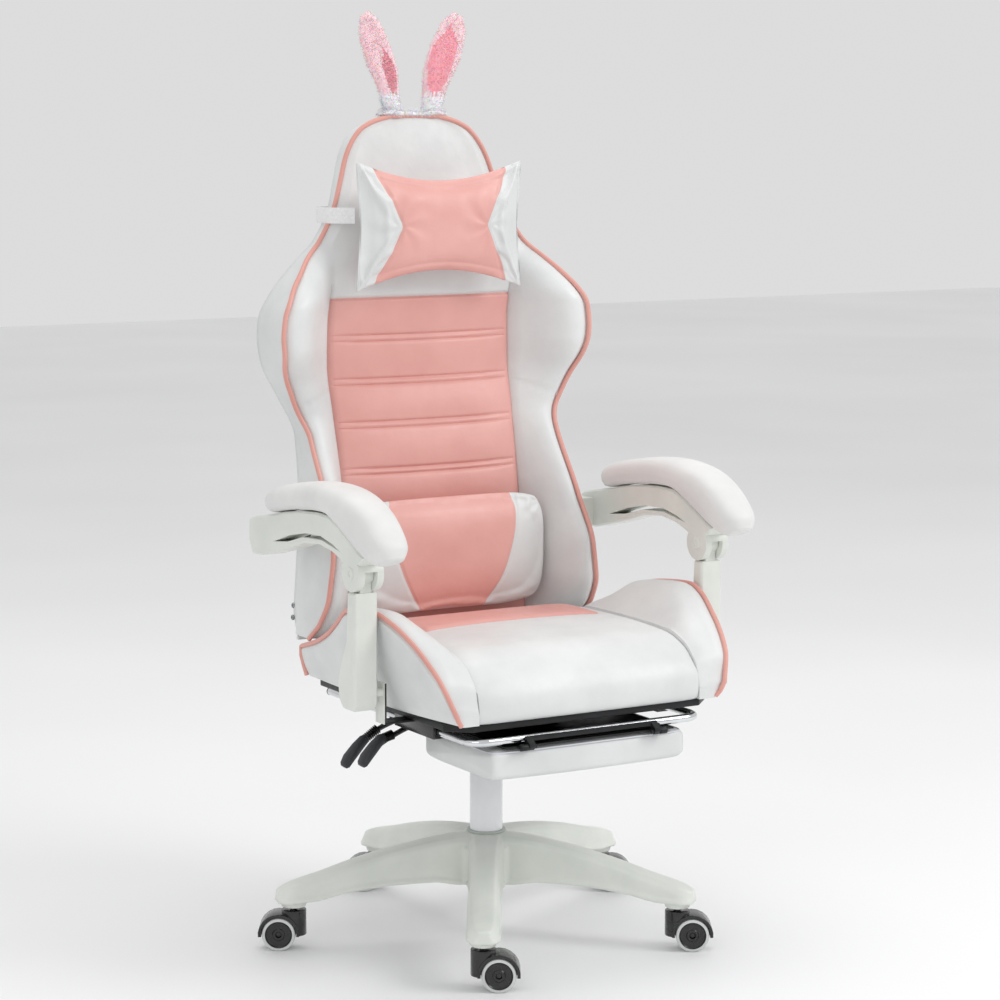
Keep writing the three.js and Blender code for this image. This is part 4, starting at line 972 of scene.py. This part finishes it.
band_rings = []
for i in range(41):
    s = -1 + 2 * i / 40
    swell = 1.0 + 0.7 * bump(abs(s), 0.66, 0.22)
    ends = max(0.2, (1 - abs(s) ** 6)) ** 0.5
    band_rings.append([(s * 58, CROWN_Y + u, 1236.4 + 4.0 * (swell - 1) + v)
                       for u, v in round_ring(13 * ends, 4.2 * swell * ends, 2.2, 24)])
band = piece("ear_band_look", skin("ear_band_look", band_rings), "back", [FLUFF],
             ["ear_band"], None, 0)
hairs("ear_band_fluff", scatter(band.data, 2600), FLUFF, 7.0, 0.35, 0.6)

# ---- the arms
ARM_X = 292.0
# (y, z) of a pad's underside and of its top, and its half width
PAD = [((100, 654), (106, 676), 22), ((84, 656), (92, 690), 31), ((50, 663), (50, 702), 35),
       ((0, 670), (-10, 712), 35), ((-52, 674), (-64, 717), 35), ((-94, 673), (-115, 716), 35),
       ((-128, 661), (-165, 708), 35), ((-160, 645), (-208, 691), 34), ((-188, 631), (-240, 667), 32),
       ((-212, 621), (-257, 649), 27), ((-228, 617), (-259, 632), 18)]


def arm_pad(sign):
    """Sections across one arm pad from the back to its nose, between the lines in PAD."""
    rings = []
    for low_y, low_z, high_y, high_z, half in curve([(*a, *b, w) for a, b, w in PAD], 7):
        ring = []
        for u, v in round_ring(half, 1, 2.7, 40):
            tuck = 1.6 * bump(v, -0.45, 0.10) * (1 if u > 0 else -1)
            ring.append((sign * (ARM_X + u - tuck), low_y + (high_y - low_y) * (1 + v) / 2,
                         low_z + (high_z - low_z) * (1 + v) / 2))
        rings.append(ring)
    ends = []
    for ring, shift in ((rings[0], (0, 2.5, 0)), (rings[-1], (0, -1.5, -1.5))):
        centre = [sum(p[i] for p in ring) / len(ring) for i in range(3)]
        ends.append([tuple(centre[i] + (p[i] - centre[i]) * 0.6 + shift[i] for i in range(3)) for p in ring])
    return skin("arm_pad", [ends[0]] + rings + [ends[1]])


BOSS = [(0, 0), (9, 0), (9.4, 0.8), (8.4, 1.8), (4.4, 2.0), (4.0, 1.0), (0, 1.0)]
for sign, side in SIDES:
    piece(f"arm_pad_{side}_look", arm_pad(sign), f"arm_{side}", [SOFT], [f"arm_pad_{side}"],
          None, 0)
    softened(f"arm_shell_{side}", f"arm_{side}", NYLON, 1.6, 30.0, 3)
    softened(f"arm_post_{side}", f"arm_post_{side}", NYLON, 2.0, 30.0, 3)
    for part, x, outward in (("cap", 311.6, sign), ("inner_cap", 272.4, -sign)):
        boss = lathe("boss", BOSS, (sign * x, -160, 599), Vector((outward, 0, 0)), 32)
        piece(f"arm_{part}_{side}", boss, f"arm_{side}", [NYLON])

# ---- under the seat
softened("seat_board", "seat", BLACK_STEEL, 2.0)
softened("mechanism_housing", "seat", BLACK_STEEL, 0.8)
softened("back_frame", "back", BLACK_STEEL, 0.5)
for side in ("left", "right"):
    bracket = softened(f"side_bracket_{side}", "seat", BLACK_STEEL, 0.6)
    bracket.data.materials.append(NYLON)
    for face in bracket.data.polygons:
        c = place_of(face.center)
        face.material_index = 1 if abs(c.x) > 250 and c.z > 383 else 0
    softened(f"footrest_guide_{side}", "seat", BLACK, 0.8)

# The footrest: a chromed rail, its bracket and plate, and the pad.
RAIL_X, RAIL_BACK, RAIL_FRONT, RAIL_Z, RAIL_BEND = 190, 143, -293, 367, 24
rail = [(RAIL_X, RAIL_BACK - 12 * i, RAIL_Z) for i in range(34)]
for i in range(13):
    a = pi / 2 * i / 12
    rail.append((RAIL_X - RAIL_BEND + RAIL_BEND * cos(a), RAIL_FRONT + RAIL_BEND - RAIL_BEND * sin(a),
                 RAIL_Z))
rail += [((RAIL_X - RAIL_BEND) * (1 - i / 14), RAIL_FRONT, RAIL_Z) for i in range(1, 15)]
rail += mirrored(rail[:-1])
piece("rail_look", tube("rail_look", rail, 6.0, 28), "footrest_slide", [CHROME], ["footrest_rail"])
for sign, side in SIDES:
    plug = lathe("plug", [(0, 0), (6.2, 0), (6.4, 1.5), (5.2, 3.4), (0, 3.8)],
                 (sign * RAIL_X, RAIL_BACK + 0.2, RAIL_Z), Vector((0, 1, 0)), 24)
    piece(f"rail_plug_{side}", plug, "footrest_slide", [BLACK])
softened("footrest_bracket", "footrest_slide", BLACK_STEEL, 0.5)
softened("footrest_plate", "footrest_pad", BLACK_STEEL, 0.5)


PAD_Y = -199.0       # the middle of the footrest pad, stowed


def foot_pad():
    """Sections across the pad, flat where it rests on its plate."""
    rings = []
    for i in range(49):
        s = -1 + 2 * i / 48
        end = 1 - max(0.0, 1 - abs(s) ** 22) ** 0.5
        puff = 3.0 * (1 - s * s)
        middle = 331.5 - puff * 0.25
        rings.append([(161 * s, PAD_Y + u * (1 - 0.035 * end), min(middle + v * (1 - 0.2 * end), 355.0))
                      for u, v in round_ring(98, 23.5 + puff * 0.4, 7.0, 72)])
    return skin("foot_pad", rings)


piece("foot_pad_look", foot_pad(), "footrest_pad", [WHITE], ["footrest_cushion"],
      None, 0)
seam_ring = [(v, PAD_Y + u, 350.0) for u, v in round_ring(98.6, 160.6, 14.0, 180)]
piece("foot_pad_seam", tube("foot_pad_seam", seam_ring + seam_ring[:1], 1.1, 6), "footrest_pad",
      [WHITE_THREAD])


# ---- levers
def lever(name, y, reach, drop, inner_path):
    """A bent rod with ribbed bellows and a flat paddle at its tip."""
    tip_x, tip_z = -reach, 366 - drop
    low_z = 345   # where the rod passes below the footrest guide
    path = inner_path + [(-60, y, 366), (-120, y, 363), (-170, y, low_z + 5), (-204, y, low_z - 8),
                         (tip_x + 18, y, tip_z + 22)]
    shaft = tube("shaft", curve(path, 8), 4.0, 16)
    a = Vector((-199, y, low_z - 4))
    b = Vector((tip_x + 32, y, tip_z + 36))
    bellows = tube("bellows", [a.lerp(b, i / 54) for i in range(55)],
                   lambda s: 5.9 + 1.3 * sin(s * 9 * 2 * pi) + 0.6 * (1 - s), 20)
    rings = []
    for dx, dz, wide, thick in ((37, 41, 4.5, 4.5), (34, 38, 6.6, 7.4), (22, 27, 9.5, 7.8),
                                (8, 12, 12.4, 6.8), (2, 3, 11.4, 5.4), (0, 0, 8, 3.2)):
        rings.append([(tip_x + dx + v * 0.75, y + u, tip_z + dz - v * 0.65)
                      for u, v in round_ring(wide, thick, 2.6, 28)])
    whole = joined(name, [shaft, bellows, skin("paddle", rings)])
    piece(name + "_look", whole, name, [BLACK, DARK], [name],
          lambda x, y, z: 1 if x < tip_x + 38 else 0, 50.0)


lever("height_lever", -25.0, 255.0, 76.0, [(6, 0, 366), (-28, -13.75, 366)])
lever("recline_lever", -72.0, 251.0, 66.0, [(-40, -72, 366)])

# ---- gas lift
column = [(4.6, 76), (25, 76), (25, 160), (25, 316.6), (24.2, 317.6), (22, 318), (22, 80), (4.6, 80)]
piece("column_look", lathe("column_look", column, (0, 0, 0), sides=72), "base", [WHITE_STEEL],
      ["column_tube"])
ring = [(25.2, 158.4), (29.5, 158.4), (29.8, 159.6), (28.6, 161.4), (26.2, 162.0), (25.2, 161.8)]
piece("column_ring", lathe("column_ring", ring + ring[:1], (0, 0, 0), sides=64), "base", [GREY_NYLON])
softened("column_guide_bush", "base", BLACK, 0.3, 40.0)
for node, body in (("thrust_bearing", "base"), ("piston_rod", "rod"), ("lift_cylinder", "seat"),
                   ("release_pin", "release")):
    softened(node, body, STEEL, 0.3, 40.0)

# ---- star base
CASTER_RADIUS = 301.0
ROOT = 20.0          # where the arms start, inside the hub
REACH = CASTER_RADIUS - ROOT
arm_top = through([(ROOT + s * REACH, z) for s, z in (
    (0, 157), (.11, 156), (.36, 147), (.64, 130), (.85, 113), (1.01, 101), (1.09, 92))])
arm_bottom = through([(ROOT + s * REACH, z) for s, z in (
    (0, 82), (.11, 83), (.25, 89), (.46, 89), (.71, 84), (.91, 74), (1.09, 72))])


def arm_angle(k):
    return radians(-30.75 - 72 * k)


def around_column(radius, angle):
    return (radius * sin(angle), -radius * cos(angle), 0)


def turned(points, angle):
    c = cos(angle)
    s = sin(angle)
    return [[(x * c - y * s, x * s + y * c, z) for x, y, z in ring] for ring in points]


def star_arm(angle):
    """Sections across one arm, from the hub to its rounded tip beyond the caster."""
    rings = []
    for i in range(47):
        r = ROOT + (REACH + 26) * i / 46
        tip = max(0.0, r - CASTER_RADIUS) / 26
        root = max(0.0, 1 - (r - ROOT) / 90)
        half = (25 + 6 * root) * (1 - 0.45 * tip ** 3)
        top = arm_top(r)
        bottom = arm_bottom(r)
        flat = half * 0.62
        left = [(-half, -r, bottom), (-half - 0.68, -r, bottom + 5), (-half + 3.0, -r, bottom + 9),
                (-half + 3.6, -r, bottom + (top - bottom) * 0.55), (-half + 5.0, -r, top - 9),
                (-flat, -r, top - 1.6), (-flat * 0.5, -r, top - 0.2)]
        spine = [(0, -r, top + 2.0 * (1 - smooth(70, 190, r)))]
        rings.append(left + spine + mirrored(left))
    return skin("arm", turned(rings, angle))


def arm_pocket(angle):
    """What is cut from under one arm."""
    rings = []
    for i in range(15):
        r = ROOT + (0.15 + 0.71 * i / 14) * REACH
        roof = arm_top(r) - 14
        rings.append([(-19, -r, 40), (19, -r, 40), (19, -r, roof - 8), (11, -r, roof), (-11, -r, roof),
                      (-19, -r, roof - 8)])
    return skin("pocket", turned(rings, angle))


SOCKET = [(0, 64), (17.6, 64), (18.6, 65), (19, 67), (19, 74), (17.8, 75), (17.8, 90), (0, 90)]
HUB = [(0, 80), (43, 80), (45.5, 84), (47, 90), (46.4, 110), (44.4, 138), (42, 144), (37, 150.5), (33.5, 156),
       (32, 158), (29, 158), (0, 158)]
BARREL = [(0, 86), (7.2, 86), (8.2, 88), (8.2, 136), (6.8, 140), (3.5, 141.5), (0, 141.5)]


def star_base():
    """Hub, arms and sockets melted into one moulding, less the pockets, the stem holes and the bore."""
    solids = []
    cutters = []
    for angle in map(arm_angle, range(5)):
        solids.append(star_arm(angle))
        cutters.append(arm_pocket(angle))
        place = around_column(CASTER_RADIUS, angle)
        solids.append(lathe("socket", SOCKET, place, sides=40))
        cutters.append(lathe("stem_hole", [(0, 60), (5.9, 60), (5.9, 86), (0, 86)], place, sides=24))
    solids.append(lathe("hub", HUB, (0, 0, 0), sides=64))
    for k in range(5):
        place = around_column(44, arm_angle(k) + radians(36))
        solids.append(lathe("barrel", BARREL, place, sides=28))
    cutters.append(lathe("bore", [(0, 70), (25.4, 70), (25.4, 170), (0, 170)], (0, 0, 0), sides=64))
    body = melted(joined("star", solids), 3)
    tool = linked("tool", melted(joined("tools", cutters), 0))
    out = evaluated(body, ("BOOLEAN", {"operation": "DIFFERENCE", "solver": "FAST", "object": tool}))
    bpy.data.objects.remove(tool)
    return out


piece("star_base_look", star_base(), "base", [NYLON], ["star_base"], None, 50.0)

# ---- casters
HEADINGS = (60, -120, -120, 60, 60)   # degrees, as in the photo
TRAIL = 22
WHEEL_RINGS = (   # tyre and disc
    [(20.2, 0), (22.5, 0), (24.2, 0.9), (25, 2.6), (25, 14.0), (24.2, 15.7), (22.5, 16.6), (20.4, 16.6)],
    [(4.7, 0.2), (20.1, 0.2), (20.1, 16.2), (19.2, 16.4), (18.2, 15.2), (9.5, 14.6), (8.4, 15.8),
     (4.7, 15.8)])
for k, heading in enumerate(HEADINGS):
    number = k + 1
    softened(f"caster_{number}_stem", "base", STEEL, 0.3, 40.0)
    softened(f"caster_{number}_hood", f"caster_{number}", BLACK, 1.2, 34.0, 3)
    turn = radians(heading + 180)
    across = Vector((cos(turn), sin(turn), 0))
    middle = Vector(around_column(CASTER_RADIUS, arm_angle(k))) - Vector(around_column(TRAIL, turn)) + UP * 25
    for letter, sign in (("a", 1), ("b", -1)):
        axis = across * sign
        base = middle + axis * 3.9
        wheel = joined("wheel", [lathe("ring", ring + ring[:1], base, axis, 56) for ring in WHEEL_RINGS])

        def wheel_pick(x, y, z, base=base, axis=axis):
            away = Vector((x, y, z)) - base
            return 0 if (away - axis * away.dot(axis)).length > 20.16 else 1

        piece(f"caster_{number}_wheel_{letter}_look", wheel, f"wheels_{number}", [TYRE, BLACK],
              [f"caster_{number}_wheel_{letter}"], wheel_pick, 35.0)

# ---- floor, light and camera
floor_mesh = mesh_of("floor", [(-12, -12, 0), (12, -12, 0), (12, 12, 0), (-12, 12, 0)], [(0, 1, 2, 3)])
floor = linked("floor", floor_mesh)
pale = Shade("pale_floor", 0.6)
pale.tone(pale.noise(0.6, 2.0), "f1f1f2", "f7f7f8")
pale.set(("Specular IOR Level", 0.2))
floor_mesh.materials.append(pale.material)

world = bpy.data.worlds.new("studio")
world.use_nodes = True
background = world.node_tree.nodes["Background"].inputs
background["Color"].default_value = (1.0, 1.0, 1.0, 1.0)
background["Strength"].default_value = 0.72
bpy.context.scene.world = world


def lamp(name, place, size, power):
    """A square lamp aimed at the chair."""
    light = bpy.data.lights.new(name, "AREA")
    light.shape = "RECTANGLE"
    light.size = size
    light.size_y = size
    light.energy = power
    made = linked(name, light)
    made.location = place
    made.rotation_euler = (Vector((0, 0, 0.7)) - Vector(place)).to_track_quat("-Z", "Y").to_euler()


lamp("key", (2.4, -2.6, 3.0), 1.6, 54)
lamp("fill", (-2.8, -2.2, 2.2), 2.4, 12)
lamp("top", (0.2, 0.6, 3.6), 2.4, 28)

camera_data = bpy.data.cameras.new("camera")
camera_data.lens = 106.2
camera_data.sensor_width = 36.0
camera_data.clip_end = 60.0
camera = linked("camera", camera_data)
camera.location = at(-2187.4, -3792.0, 1251.9)
camera.rotation_mode = "QUATERNION"
camera.rotation_quaternion = Vector((0.49932, 0.85613, -0.13312)).to_track_quat("-Z", "Y")
bpy.context.scene.camera = camera
bpy.context.scene.view_settings.view_transform = "Standard"
